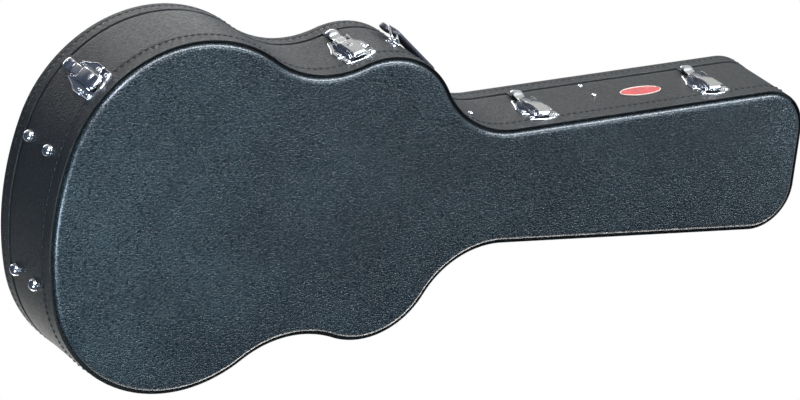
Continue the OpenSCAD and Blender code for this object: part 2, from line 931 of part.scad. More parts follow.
// Hinges: one straight axis touches the lower bout, the upper bout and the head's corner
hinge_skew = asin((lower_bout_r - upper_bout_r) / bout_gap) - heading(bout_step);
hinge_out = [sin(hinge_skew), cos(hinge_skew)];
hinge_dir = [cos(hinge_skew), -sin(hinge_skew)];
hinge_spots = [[lower_c, lower_bout_r], [upper_c, upper_bout_r], [corner_c, head_corner_r]];
hinge_reach = max([for (s = hinge_spots) s[0] * hinge_out + s[1]]);
axis_out = knuckle_r + knuckle_gap;
// Each hinge's place along the axis, and the step that its leaves take in from the axis to the wall
hinge_places = [for (s = hinge_spots) [s[0] * hinge_dir, hinge_reach - s[0] * hinge_out - s[1]]];
leaf_seat = 5;
knuckle_count = 5;
knuckle_l = hinge_l / knuckle_count;
knuckle_play = 0.3;

// Frame on the hinge line: x along the axis, y outwards from the walls' common tangent
module at_hinge(place) {
    p = place[0] * hinge_dir + hinge_reach * hinge_out;
    translate([p[0], p[1], 0])
        rotate(-hinge_skew)
            children();
}

module at_leaf_rivets(place, side) {
    for (s = [-1, 1])
        translate([s * hinge_l * 0.3, -place[1], seam_z + side * (axis_out + (side < 0 ? tub_leaf_h : lid_leaf_h) / 2)])
            children();
}

// One leaf with its own knuckles; side -1 is the tub's, +1 the lid's
module hinge_leaf(place, side) {
    h = side < 0 ? tub_leaf_h : lid_leaf_h;
    first = side < 0 ? 0 : 1;
    color(chrome)
        difference() {
            at_hinge(place)
                translate([0, 0, seam_z])
                    mirror([0, 0, side < 0 ? 1 : 0])
                        leaf_body(h, first, place[1]);
            slab(-set_gap / 3, 0, case_depth);
            at_hinge(place) {
                at_leaf_rivets(place, side)
                    rivet_hole(leaf_t, leaf_t + tub_wall_t);
                hinge_bore();
            }
        }
}

module leaf_body(h, first, step) {
    translate([-hinge_l / 2, -leaf_seat - step, axis_out])
        cube([hinge_l, leaf_t + leaf_seat, h]);
    translate([-hinge_l / 2, -step, axis_out])
        cube([hinge_l, leaf_t + step, leaf_t]);
    for (k = [first : 2 : knuckle_count - 1])
        translate([-hinge_l / 2 + k * knuckle_l + knuckle_play / 2, 0, 0]) {
            translate([0, knuckle_gap, 0])
                cube([knuckle_l - knuckle_play, leaf_t - knuckle_gap, axis_out + 0.5]);
            translate([0, axis_out, 0])
                rotate([0, 90, 0])
                    cylinder(r = knuckle_r, h = knuckle_l - knuckle_play);
        }
}

module hinge_bore() {
    translate([0, axis_out, seam_z])
        rotate([0, 90, 0])
            cylinder(d = hinge_pin_d + 2 * pin_gap, h = 2 * hinge_l, center = true);
}

module hinge_pin(place) {
    head_h = 1;
    color(chrome)
        at_hinge(place)
            translate([0, axis_out, seam_z])
                rotate([0, 90, 0]) {
                    cylinder(d = hinge_pin_d, h = hinge_l + 2 * head_h, center = true);
                    for (s = [0, 1])
                        mirror([0, 0, s])
                            translate([0, 0, hinge_l / 2 + 0.1])
                                cylinder(r = knuckle_r - 0.2, h = head_h);
                }
}

module hinge_rivets(side, wall) {
    color(chrome)
        for (h = hinge_places)
            at_hinge(h)
                at_leaf_rivets(h, side)
                    rivet(rivet_head_d, leaf_t + set_gap, leaf_t + set_gap + wall - 1);
}

// Handle: a flat grip on two wire loops, leaning flat towards the lid at rest
loop_xs = [-loop_spacing / 2, loop_spacing / 2];
eye_y = -eye_drop;
bar_y = eye_y + loop_reach * cos(loop_lean);
bar_z = handle_z + loop_reach * sin(loop_lean);
wire_r = wire_d / 2;
eye_l = loop_w - wire_d - 2 * 0.8;
saddle_top = eye_y - 2.6;
crest_drop = upper_bout_r - sqrt(upper_bout_r * upper_bout_r - loop_spacing * loop_spacing / 4);
saddle_shank = saddle_top + crest_drop + tub_wall_t - 2.2;
saddle_rivet_z = saddle_plate_w / 2 - 4.5;

module at_saddle_rivets() {
    for (x = loop_xs)
        for (s = [-1, 1])
            translate([x, 0, handle_z + s * saddle_rivet_z])
                children();
}

// Saddle: a plate cut to the wall with an eye for the wire
module handle_saddles() {
    color(chrome)
        difference() {
            on_wall(handle_place)
                for (x = loop_xs) {
                    translate([x - eye_l / 2, saddle_top - 9, handle_z - saddle_plate_w / 2])
                        cube([eye_l, 9, saddle_plate_w]);
                    translate([x - eye_l / 2, eye_y, handle_z])
                        rotate([0, 90, 0])
                            cylinder(r = wire_r + 2, h = eye_l);
                }
            slab(-set_gap / 3, 0, case_depth);
            on_wall(handle_place) {
                at_saddle_rivets()
                    rivet_hole(saddle_top, saddle_shank);
                for (x = loop_xs)
                    translate([x - loop_w, eye_y, handle_z])
                        rotate([0, 90, 0])
                            cylinder(r = wire_r + pin_gap, h = 2 * loop_w);
            }
        }
}

module handle_saddle_rivets() {
    color(chrome)
        on_wall(handle_place)
            at_saddle_rivets()
                rivet(rivet_head_d, saddle_top + set_gap, saddle_shank + set_gap);
}

// Frame of the loops: origin on the eye line, y towards the grip's bar
module loop_frame() {
    translate([0, eye_y, handle_z])
        rotate([loop_lean, 0, 0])
            children();
}

module wire_loop() {
    for (y = [0, loop_reach])
        translate([-loop_w / 2, y, 0])
            rotate([0, 90, 0])
                cylinder(r = wire_r, h = loop_w);
    for (s = [-1, 1])
        translate([s * loop_w / 2, 0, 0]) {
            rotate([-90, 0, 0])
                cylinder(r = wire_r, h = loop_reach);
            sphere(wire_r);
            translate([0, loop_reach, 0])
                sphere(wire_r);
        }
}

module handle_loops() {
    color(chrome)
        on_wall(handle_place)
            loop_frame()
                for (x = loop_xs)
                    translate([x, 0, 0])
                        wire_loop();
}

// Grip: oval section along x, trimmed to a plan with narrower rounded tabs at both ends
bar_inset = 6;
grip_mid_z = bar_z + grip_w / 2 - bar_inset;
grip_tab_w = 20;
grip_tab_l = 20;

module grip_section() {
    polygon([for (i = [0 : 31]) let (a = i * 11.25)
        [grip_t / 2 * sign(cos(a)) * pow(abs(cos(a)), 0.7), grip_w / 2 * sign(sin(a)) * pow(abs(sin(a)), 0.8)]]);
}

module grip_plan() {
    mid_l = grip_l - 2 * grip_tab_l;
    square([mid_l, grip_w + 2], center = true);
    for (s = [-1, 1])
        translate([s * mid_l / 2, 0]) {
            circle(d = grip_w);
            translate([s * (grip_tab_l - grip_tab_w / 2), 0])
                circle(d = grip_tab_w);
            square([2 * grip_tab_l - grip_tab_w, grip_tab_w], center = true);
        }
}

module handle_grip() {
    color(leatherette)
        on_wall(handle_place)
            difference() {
                translate([0, bar_y, grip_mid_z])
                    intersection() {
                        rotate([90, 0, 90])
                            linear_extrude(grip_l + 2, center = true)
                                grip_section();
                        rotate([90, 0, 0])
                            linear_extrude(2 * grip_t, center = true)
                                grip_plan();
                    }
                for (x = loop_xs)
                    translate([x, bar_y, bar_z])
                        loop_seat();
            }
}

// Bore for a loop's bar, and a notch for each of its sides
module loop_seat() {
    notch = wire_d + 1;
    rotate([0, 90, 0])
        cylinder(r = wire_r + pin_gap, h = loop_w + notch, center = true);
    for (s = [-1, 1])
        translate([s * loop_w / 2 - notch / 2, -grip_t, -grip_w])
            cube([notch, 2 * grip_t, grip_w + wire_r + 0.5]);
}

tub_bottom_panel();
tub_wall(-1);  // tub_wall_latch_side
tub_wall(1);  // tub_wall_hinge_side
tub_floor_lining();
tub_band(-1);  // tub_band_latch_side
tub_band(1);  // tub_band_hinge_side
tub_padding(-1);  // tub_padding_latch_side
tub_padding(1);  // tub_padding_hinge_side
body_partition();
head_partition();
neck_cradle_pad();
flap_rail();
partition_screws();
butt_feet();
badge_plate();
badge_rim();
hinge_leaf(hinge_places[0], -1);  // lower_hinge_tub_leaf
hinge_leaf(hinge_places[1], -1);  // upper_hinge_tub_leaf
hinge_leaf(hinge_places[2], -1);  // head_hinge_tub_leaf
hinge_pin(hinge_places[0]);  // lower_hinge_pin
hinge_pin(hinge_places[1]);  // upper_hinge_pin
hinge_pin(hinge_places[2]);  // head_hinge_pin
hinge_rivets(-1, tub_wall_t);  // tub_hinge_rivets
latch_base(tail_latch);  // tail_latch_base
latch_base(waist_latch);  // waist_latch_base
latch_base(neck_latch);  // neck_latch_base
latch_base(head_latch);  // head_latch_base
latch_pivot_rivets();
latch_rivets();
latch_lever(tail_latch);  // tail_latch_lever
waist_latch_lever();
latch_lever(neck_latch);  // neck_latch_lever
latch_lever(head_latch);  // head_latch_lever
latch_claw_pin(tail_latch);  // tail_latch_claw_pin
latch_claw_pin(waist_latch);  // waist_latch_claw_pin
latch_claw_pin(neck_latch);  // neck_latch_claw_pin
latch_claw_pin(head_latch);  // head_latch_claw_pin
latch_claw(tail_latch);  // tail_latch_claw
latch_claw(waist_latch);  // waist_latch_claw
latch_claw(neck_latch);  // neck_latch_claw
latch_claw(head_latch);  // head_latch_claw
lock_plug();
handle_saddles();
handle_saddle_rivets();
handle_loops();
handle_grip();
compartment_flap();
flap_pull_tab();
lid_top_panel();
lid_side_wall();
lid_padding();
strike(tail_latch);  // tail_strike
strike(waist_latch);  // waist_strike
strike(neck_latch);  // neck_strike
strike(head_latch);  // head_strike
strike_screws();
hinge_leaf(hinge_places[0], 1);  // lower_hinge_lid_leaf
hinge_leaf(hinge_places[1], 1);  // upper_hinge_lid_leaf
hinge_leaf(hinge_places[2], 1);  // head_hinge_lid_leaf
hinge_rivets(1, lid_wall_t);  // lid_hinge_rivets
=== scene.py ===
"""Hard-shell guitar case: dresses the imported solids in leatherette, plush, plating and enamel."""
import json
import logging
import math
from dataclasses import dataclass
from enum import Enum

import bmesh
import bpy
import numpy as np
from mathutils import Matrix

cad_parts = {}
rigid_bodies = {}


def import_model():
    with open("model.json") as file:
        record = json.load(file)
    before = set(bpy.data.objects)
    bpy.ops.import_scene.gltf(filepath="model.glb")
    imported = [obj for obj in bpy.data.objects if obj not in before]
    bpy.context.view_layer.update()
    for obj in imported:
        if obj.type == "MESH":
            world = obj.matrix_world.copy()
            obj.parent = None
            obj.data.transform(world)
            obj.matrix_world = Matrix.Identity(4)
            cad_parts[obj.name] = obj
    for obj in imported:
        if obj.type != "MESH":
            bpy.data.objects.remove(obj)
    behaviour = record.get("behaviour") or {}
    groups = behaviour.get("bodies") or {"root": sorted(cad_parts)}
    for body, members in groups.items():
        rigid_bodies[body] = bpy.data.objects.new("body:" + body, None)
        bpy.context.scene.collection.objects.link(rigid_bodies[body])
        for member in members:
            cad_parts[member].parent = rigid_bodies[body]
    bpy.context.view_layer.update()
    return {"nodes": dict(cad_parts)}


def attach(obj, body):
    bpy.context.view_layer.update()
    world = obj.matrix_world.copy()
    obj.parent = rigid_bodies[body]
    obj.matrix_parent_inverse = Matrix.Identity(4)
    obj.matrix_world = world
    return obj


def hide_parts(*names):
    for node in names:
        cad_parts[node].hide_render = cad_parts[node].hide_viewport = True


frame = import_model()

LOG = logging.getLogger("guitar_case")
MM = 0.001
STRETCH = "stretch"
TURN = 2 * math.pi
QUARTER = math.pi / 2
Array = np.ndarray
Colour = tuple[float, float, float]
Material = bpy.types.Material
Node = bpy.types.Node
Socket = bpy.types.NodeSocket


class Body(str, Enum):
    """Bodies that a piece can ride on."""

    TUB = "tub"
    LID = "lid"
    LOOPS = "loops"
    GRIP = "grip"
    FLAP = "flap"


class Slot(str, Enum):
    """Material slots of the record."""

    LEATHERETTE = "leatherette"
    PLUSH = "plush"
    CHROME = "chrome"
    BADGE = "badge_red"
    GRIP = "grip_leather"


# Node helpers


class NodeTree:
    """Thin wrapper that adds and links shader nodes in a few words."""

    def __init__(self, tree: bpy.types.NodeTree) -> None:
        """Keeps the tree that nodes are added to."""
        self.tree = tree

    def add(self, kind: str, links: dict | None = None, **values: object) -> Node:
        """Adds a node.

        Args:
            kind: Blender's node type.
            links: Input socket name or index to the output socket that feeds it.
            values: Attributes of the node, or "in_Name" style constants for its inputs.

        Returns:
            The new node.
        """
        node = self.tree.nodes.new(kind)
        for key, value in values.items():
            if key.startswith("in_"):
                name = key[3:].replace("_", " ")
                node.inputs[int(name) if name.isdigit() else name].default_value = value
            else:
                setattr(node, key, value)
        for key, source in (links or {}).items():
            self.link(source, node.inputs[key])
        return node

    def link(self, source: Socket, target: Socket) -> None:
        """Feeds an input with an output."""
        self.tree.links.new(source, target)

    def math(self, operation: str, a: object, b: object = 0.0) -> Socket:
        """Adds a Math node whose inputs are sockets or numbers.

        Args:
            operation: Blender's name of the operation.
            a: First input.
            b: Second input.

        Returns:
            The node's output.
        """
        node = self.tree.nodes.new("ShaderNodeMath")
        node.operation = operation
        for i, value in enumerate((a, b)):
            if isinstance(value, Socket):
                self.link(value, node.inputs[i])
            else:
                node.inputs[i].default_value = value
        return node.outputs[0]

    def ramp(self, source: Socket, low: float, high: float,
             to: tuple[float, float] = (0.0, 1.0)) -> Socket:
        """Maps a value smoothly from the range low..high to another range.

        Args:
            source: Value to map.
            low: Start of its range.
            high: End of its range.
            to: Range that it is mapped to.

        Returns:
            The mapped value.
        """
        node = self.tree.nodes.new("ShaderNodeMapRange")
        node.interpolation_type = "SMOOTHSTEP"
        self.link(source, node.inputs["Value"])
        for name, value in zip(("From Min", "From Max", "To Min", "To Max"), (low, high, *to)):
            node.inputs[name].default_value = value
        return node.outputs["Result"]


def new_group(name: str, inputs: dict[str, float], outputs: tuple[str, ...]) -> tuple[NodeTree, dict, dict]:
    """Makes a shader node group.

    Args:
        name: Name of the group.
        inputs: Float inputs and their defaults; a Vector input is always added first.
        outputs: Float outputs.

    Returns:
        The wrapped tree, its input sockets by name, and its output sockets by name.
    """
    tree = bpy.data.node_groups.new(name, "ShaderNodeTree")
    tree.interface.new_socket("Vector", in_out="INPUT", socket_type="NodeSocketVector")
    for key, value in inputs.items():
        tree.interface.new_socket(key, in_out="INPUT", socket_type="NodeSocketFloat").default_value = value
    for key in outputs:
        tree.interface.new_socket(key, in_out="OUTPUT", socket_type="NodeSocketFloat")
    start = tree.nodes.new("NodeGroupInput")
    end = tree.nodes.new("NodeGroupOutput")
    return NodeTree(tree), {s.name: s for s in start.outputs}, {s.name: s for s in end.inputs}


class Effects:
    """Node groups that several finishes share, each made once."""

    def __init__(self) -> None:
        """Builds the groups."""
        self.pebble = self._pebble()
        self.mottle = self._mottle()
        self.pile = self._pile()

    @staticmethod
    def _pebble() -> bpy.types.NodeTree:
        """Leather grain: low domes of a warped Voronoi, cut by creases drawn out lengthways.

        Returns:
            The group, with outputs Height and Valley; Valley is high between the domes and in the creases,
            where the leathers paint shade.
        """
        t, a, b = new_group("pebble_grain", {"Cells": 300.0, "Wrinkle": 0.9}, ("Height", "Valley"))
        warp = t.add("ShaderNodeTexNoise", {"Vector": a["Vector"]}, in_Scale=150.0, in_Detail=2.0)
        push = t.add("ShaderNodeVectorMath", {0: warp.outputs["Color"]}, operation="SCALE", in_3=0.004)
        place = t.add("ShaderNodeVectorMath", {0: a["Vector"], 1: push.outputs[0]}, operation="ADD")
        cells = t.add("ShaderNodeTexVoronoi", {"Vector": place.outputs[0], "Scale": a["Cells"]}, feature="F1")
        dome = t.ramp(cells.outputs["Distance"], 0.66, 0.06)
        drawn = t.add("ShaderNodeVectorMath", {0: a["Vector"]}, operation="MULTIPLY", in_1=(0.55, 1.35, 1.0))
        crease = t.add("ShaderNodeTexNoise", {"Vector": drawn.outputs[0], "Scale": a["Cells"]}, in_Detail=1.0,
                       in_Distortion=0.4)
        fold = t.math("MULTIPLY", t.ramp(crease.outputs["Fac"], 0.40, 0.60), a["Wrinkle"])
        t.link(t.math("ADD", dome, fold), b["Height"])
        # Valley: depth between the domes and in the creases; it darkens the leathers' colour as painted shade
        # and raises their roughness.
        low = t.ramp(crease.outputs["Fac"], 0.56, 0.42)
        t.link(t.math("MULTIPLY", t.math("SUBTRACT", 1.4, dome), low), b["Valley"])
        return t.tree

    @staticmethod
    def _mottle() -> bpy.types.NodeTree:
        """Slow and fine variation: two noises, for smudges, handling marks and dye that differs.

        Returns:
            The group, with outputs Broad and Fine.
        """
        t, a, b = new_group("mottle", {"Broad": 9.0, "Fine": 140.0}, ("Broad", "Fine"))
        for key, detail in (("Broad", 3.0), ("Fine", 4.0)):
            n = t.add("ShaderNodeTexNoise", {"Vector": a["Vector"], "Scale": a[key]}, in_Detail=detail)
            t.link(t.ramp(n.outputs["Fac"], 0.32, 0.68), b[key])
        return t.tree

    @staticmethod
    def _pile() -> bpy.types.NodeTree:
        """Short pile: fine tufts, brushed into soft patches.

        Returns:
            The group, with outputs Height and Nap.
        """
        t, a, b = new_group("plush_pile", {"Tufts": 1100.0, "Brushing": 16.0}, ("Height", "Nap"))
        tuft = t.add("ShaderNodeTexNoise", {"Vector": a["Vector"], "Scale": a["Tufts"]}, in_Detail=2.0)
        brush = t.add("ShaderNodeTexNoise", {"Vector": a["Vector"], "Scale": a["Brushing"]}, in_Detail=4.0,
                      in_Distortion=0.8)
        t.link(t.ramp(tuft.outputs["Fac"], 0.3, 0.7), b["Height"])
        t.link(t.ramp(brush.outputs["Fac"], 0.36, 0.64), b["Nap"])
        return t.tree


@dataclass(frozen=True)
class Finish:
    """A surface finish; subclasses wire their own colour, gloss and relief."""

    name: str
    colour: Colour
    tint: Colour
    roughness: float = 0.5

    def material(self, effects: Effects) -> Material:
        """Builds the material.

        Args:
            effects: The shared node groups.

        Returns:
            A new material of this finish.
        """
        m = bpy.data.materials.new(self.name)
        m.use_nodes = True
        t = NodeTree(m.node_tree)
        shader = m.node_tree.nodes["Principled BSDF"]
        where = t.add("ShaderNodeTexCoord").outputs["Object"]
        self.wire(t, shader, where, effects)
        return m

    def wire(self, t: NodeTree, shader: Node, where: Socket, effects: Effects) -> None:
        """Wires the finish into the shader; each kind of finish has its own."""
        raise NotImplementedError

    def blend(self, t: NodeTree, factor: Socket, shader: Node) -> None:
        """Feeds the base colour with a mix of colour and tint.

        Args:
            t: Tree of the material.
            factor: Share of the tint at each place.
            shader: Its Principled node.
        """
        mix = t.add("ShaderNodeMix", data_type="RGBA")
        mix.inputs[6].default_value = (*self.colour, 1.0)
        mix.inputs[7].default_value = (*self.tint, 1.0)
        t.link(factor, mix.inputs[0])
        t.link(mix.outputs[2], shader.inputs["Base Color"])

    @staticmethod
    def relief(t: NodeTree, height: Socket, depth: float, shader: Node) -> None:
        """Feeds the normal with a bump of that depth in metres."""
        bump = t.add("ShaderNodeBump", {"Height": height}, in_Strength=1.0, in_Distance=depth)
        t.link(bump.outputs["Normal"], shader.inputs["Normal"])


@dataclass(frozen=True)
class Leather(Finish):
    """Grained vinyl or leather: pebbles, valleys darkened as painted shade, and slow changes of dye and
    gloss.
    """

    cells: float = 390.0
    depth: float = 0.00047
    coat: float = 0.0
    wrinkle: float = 0.9
    taut_gloss: float = 0.7
    taut_flat: float = 0.55
    coat_roughness: float = 0.25

    def wire(self, t: NodeTree, shader: Node, where: Socket, effects: Effects) -> None:
        """Pebbles drive relief, flatter and glossier where stretched; painted shade in the valleys and
        mottled dye drive colour.

        Args:
            t: Tree of the material.
            shader: Its Principled node.
            where: Object coordinates.
            effects: The shared node groups.
        """
        grain = t.add("ShaderNodeGroup", {"Vector": where}, node_tree=effects.pebble)
        grain.inputs["Cells"].default_value = self.cells
        grain.inputs["Wrinkle"].default_value = self.wrinkle
        spots = t.add("ShaderNodeGroup", {"Vector": where}, node_tree=effects.mottle)
        # Painted shade: the grain's valleys take the dark tint; the broad mottling adds uneven dye.
        shade = t.math("ADD", t.math("MULTIPLY", grain.outputs["Valley"], 0.6),
                       t.math("MULTIPLY", spots.outputs["Broad"], 0.4))
        self.blend(t, shade, shader)
        taut = t.add("ShaderNodeAttribute", attribute_name=STRETCH).outputs["Fac"]
        rough = t.math("ADD", t.math("MULTIPLY", grain.outputs["Valley"], 0.10),
                       t.math("MULTIPLY", spots.outputs["Fine"], 0.05))
        t.link(t.math("ADD", rough, self.roughness), shader.inputs["Roughness"])
        flat = t.math("SUBTRACT", 1.0, t.math("MULTIPLY", taut, self.taut_flat))
        self.relief(t, t.math("MULTIPLY", grain.outputs["Height"], flat), self.depth, shader)
        gloss = t.math("ADD", t.math("MULTIPLY", taut, self.taut_gloss), self.coat)
        t.link(gloss, shader.inputs["Coat Weight"])
        shader.inputs["Coat Roughness"].default_value = self.coat_roughness


@dataclass(frozen=True)
class Plush(Finish):
    """Short-pile lining with a soft sheen."""

    sheen: float = 0.45
    pile_h: float = 0.0006

    def wire(self, t: NodeTree, shader: Node, where: Socket, effects: Effects) -> None:
        """Nap patches drive colour, tufts drive relief.

        Args:
            t: Tree of the material.
            shader: Its Principled node.
            where: Object coordinates.
            effects: The shared node groups.
        """
        pile = t.add("ShaderNodeGroup", {"Vector": where}, node_tree=effects.pile)
        self.blend(t, pile.outputs["Nap"], shader)
        shader.inputs["Roughness"].default_value = self.roughness
        shader.inputs["Sheen Weight"].default_value = self.sheen
        self.relief(t, pile.outputs["Height"], self.pile_h, shader)


@dataclass(frozen=True)
class Plating(Finish):
    """Polished plating over pressed steel, with faint waves, smudges and duller patches."""

    waves: float = 60.0
    smudges: float = 420.0
    wave_h: float = 0.00002

    def wire(self, t: NodeTree, shader: Node, where: Socket, effects: Effects) -> None:
        """Smudges drive colour; slow waves drive gloss and relief.

        Args:
            t: Tree of the material.
            shader: Its Principled node.
            where: Object coordinates.
            effects: The shared node groups.
        """
        spots = t.add("ShaderNodeGroup", {"Vector": where}, node_tree=effects.mottle)
        spots.inputs["Broad"].default_value = self.waves
        spots.inputs["Fine"].default_value = self.smudges
        self.blend(t, t.math("MULTIPLY", spots.outputs["Fine"], 0.5), shader)
        shader.inputs["Metallic"].default_value = 1.0
        gloss = t.math("ADD", t.math("MULTIPLY", spots.outputs["Broad"], 0.07), self.roughness)
        t.link(gloss, shader.inputs["Roughness"])
        self.relief(t, spots.outputs["Broad"], self.wave_h, shader)


@dataclass(frozen=True)
class Enamel(Finish):
    """Glossy enamel under a clear coat, slightly uneven."""

    clouds: float = 120.0
    coat: float = 0.6

    def wire(self, t: NodeTree, shader: Node, where: Socket, effects: Effects) -> None:
        """Mottling drives colour and gloss.

        Args:
            t: Tree of the material.
            shader: Its Principled node.
            where: Object coordinates.
            effects: The shared node groups.
        """
        spots = t.add("ShaderNodeGroup", {"Vector": where}, node_tree=effects.mottle)
        spots.inputs["Broad"].default_value = self.clouds
        self.blend(t, spots.outputs["Broad"], shader)
        gloss = t.math("ADD", t.math("MULTIPLY", spots.outputs["Fine"], 0.06), self.roughness)
        t.link(gloss, shader.inputs["Roughness"])
        shader.inputs["Coat Weight"].default_value = self.coat


@dataclass(frozen=True)
class Thread(Finish):
    """Twisted sewing thread."""

    strands: float = 2600.0
    strand_h: float = 0.0002

    def wire(self, t: NodeTree, shader: Node, where: Socket, effects: Effects) -> None:
        """Fine strands drive colour and relief.

        Args:
            t: Tree of the material.
            shader: Its Principled node.
            where: Object coordinates.
            effects: The shared node groups; not used.
        """
        strands = t.add("ShaderNodeTexNoise", {"Vector": where}, in_Scale=self.strands, in_Detail=1.0)
        self.blend(t, strands.outputs["Fac"], shader)
        shader.inputs["Roughness"].default_value = self.roughness
        self.relief(t, strands.outputs["Fac"], self.strand_h, shader)


class Wardrobe:
    """Every finish of the case as a material, made once."""

    def __init__(self) -> None:
        """Builds the shared effects, then the materials."""
        effects = Effects()
        make = {
            # Leathers: the second colour is reached in the grain's valleys as painted shade, and in darker
            # patches of the mottling as uneven dye.
            "shell": Leather("leatherette", (0.016, 0.0255, 0.0305), (0.003, 0.006, 0.009), 0.17),
            "side": Leather("leatherette_side", (0.016, 0.017, 0.017), (0.008, 0.009, 0.010), 0.38,
                            cells=420.0, depth=0.00030, wrinkle=0.3),
            "grip": Leather("grip_leather", (0.030, 0.028, 0.042), (0.010, 0.010, 0.016), 0.34,
                            cells=620.0, depth=0.00012, coat=0.15, wrinkle=0.2),
            "plush": Plush("gold_plush", (0.34, 0.19, 0.045), (0.22, 0.115, 0.022), 0.92),
            "chrome": Plating("chrome_plating", (0.74, 0.75, 0.76), (0.58, 0.59, 0.61), 0.11),
            "enamel": Enamel("badge_enamel", (0.29, 0.034, 0.036), (0.23, 0.021, 0.026), 0.20),
            "silver": Enamel("badge_silver", (0.46, 0.36, 0.31), (0.38, 0.29, 0.25), 0.22),
            # Near-black thread: partly the thread's own dark colour, partly painted shade of the stitch
            # holes, so the stitches read as dark dashes.
            "thread": Thread("sewing_thread", (0.005, 0.006, 0.007), (0.002, 0.003, 0.004), 0.6),
        }
        self.materials = {key: finish.material(effects) for key, finish in make.items()}

    def __getitem__(self, key: str) -> Material:
        """Returns the material of that name."""
        return self.materials[key]


# Meshes


def grid_quads(rows: int, cols: int, wrap_rows: bool, wrap_cols: bool) -> Array:
    """Quads between neighbouring points of a grid.

    Args:
        rows: Number of rows of points.
        cols: Number of columns of points.
        wrap_rows: Whether the last row joins the first.
        wrap_cols: Whether the last column joins the first.

    Returns:
        Indices into the flattened grid, one row of four per quad.
    """
    r, c = np.meshgrid(np.arange(rows if wrap_rows else rows - 1),
                       np.arange(cols if wrap_cols else cols - 1), indexing="ij")
    r2, c2 = (r + 1) % rows, (c + 1) % cols
    return np.stack([r * cols + c, r2 * cols + c, r2 * cols + c2, r * cols + c2], -1).reshape(-1, 4)


class Mesh:
    """Points and faces that are gathered before they become one object."""

    def __init__(self) -> None:
        """Starts empty."""
        self.points: list[Array] = []
        self.faces: list[Array] = []
        self.count = 0

    def add(self, points: Array, faces: list[Array]) -> "Mesh":
        """Adds one closed shell, turned so that its faces point outwards.

        Args:
            points: Points in millimetres, one row each.
            faces: Index arrays, one per kind of polygon.

        Returns:
            The mesh itself.
        """
        volume = 0.0
        for f in faces:
            p = points[f]
            fan = np.cross(p[:, 1:-1], p[:, 2:])
            volume += float(np.einsum("ik,ijk->", p[:, 0], fan))
        for f in faces:
            self.faces.append((f if volume > 0 else f[:, ::-1]) + self.count)
        self.points.append(points)
        self.count += len(points)
        return self

    def tube(self, grid: Array) -> "Mesh":
        """Adds a grid that closes across its columns, its first and last rows capped by one polygon each."""
        return self.many(grid[None])

    def sleeve(self, grid: Array) -> "Mesh":
        """Adds a grid that closes across its columns and whose end rows fold flat on themselves."""
        rows, cols = grid.shape[:2]
        return self.add(grid.reshape(-1, 3), [grid_quads(rows, cols, False, True)])

    def ring(self, grid: Array) -> "Mesh":
        """Adds a grid that closes both ways."""
        rows, cols = grid.shape[:2]
        return self.add(grid.reshape(-1, 3), [grid_quads(rows, cols, True, True)])

    def many(self, grids: Array) -> "Mesh":
        """Adds many equal tubes at once.

        Args:
            grids: Array of tubes x rows x columns x 3.

        Returns:
            The mesh itself.
        """
        n, rows, cols = grids.shape[:3]
        step = (np.arange(n) * rows * cols)[:, None, None]
        one = [grid_quads(rows, cols, False, True), np.arange(cols)[None, ::-1],
               (rows - 1) * cols + np.arange(cols)[None]]
        faces = [(f[None] + step).reshape(-1, f.shape[1]) for f in one]
        return self.add(grids.reshape(-1, 3), faces)

    def piece(self, name: str, body: str, material: Material, slot: Slot,
              nodes: tuple[str, ...] = (), sharp: float = 40.0, weld: bool = False) -> bpy.types.Object:
        """Turns what was gathered into a piece that rides on a body.

        Args:
            name: Name of the piece.
            body: Body that it rides on.
            material: Its material.
            slot: Slot of the record; not used.
            nodes: Nodes that it stands for.
            sharp: Angle in degrees above which an edge is drawn sharp.
            weld: Whether points that coincide are joined.

        Returns:
            The new object.
        """
        data = bpy.data.meshes.new(name)
        faces = [row for f in self.faces for row in f.tolist()]
        points = np.concatenate(self.points) * MM
        data.from_pydata(points.tolist(), [], faces)
        if weld:
            join_doubles(data)
        data.polygons.foreach_set("use_smooth", np.ones(len(data.polygons), bool))
        data.set_sharp_from_angle(angle=math.radians(sharp))
        data.materials.append(material)
        piece = bpy.data.objects.new(name, data)
        bpy.context.scene.collection.objects.link(piece)
        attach(piece, body)
        if nodes:
            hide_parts(*nodes)
        LOG.info("%s: %d faces on %s", name, len(data.polygons), body)
        return piece


def join_doubles(data: bpy.types.Mesh) -> None:
    """Joins points of a mesh that coincide and drops faces that have no area.

    Args:
        data: The mesh, changed in place.
    """
    work = bmesh.new()
    work.from_mesh(data)
    bmesh.ops.remove_doubles(work, verts=work.verts, dist=1e-6)
    bmesh.ops.dissolve_degenerate(work, edges=work.edges, dist=1e-7)
    work.to_mesh(data)
    work.free()


def full_turn(count: int) -> Array:
    """Angles of that many even steps round a circle."""
    return np.linspace(0, TURN, count, endpoint=False)


def ray(angle: Array | float) -> Array:
    """Unit vectors of the plane at those angles."""
    return np.stack([np.cos(angle), np.sin(angle)], -1)


def keep_sign(value: Array, power: float) -> Array:
    """Raises the size of each value to a power and keeps its sign, which squares off a circle."""
    return np.sign(value) * np.abs(value) ** power


def raised(flat: Array, height: Array) -> Array:
    """Rows of plane points with each row's height as their third coordinate."""
    return np.concatenate([flat, np.broadcast_to(height[:, None, None], (*flat.shape[:2], 1))], -1)


def polygon_normals(outline: Array) -> Array:
    """Outward normals at the corners of a counter-clockwise polygon, as long as keeps its sides parallel.

    Args:
        outline: Corners in order.

    Returns:
        One normal per corner.
    """
    ahead = np.roll(outline, -1, 0) - outline
    ahead /= np.linalg.norm(ahead, axis=1, keepdims=True)
    out = np.stack([ahead[:, 1], -ahead[:, 0]], -1)
    both = out + np.roll(out, 1, 0)
    return 2 * both / np.maximum((both * both).sum(1, keepdims=True), 0.8)


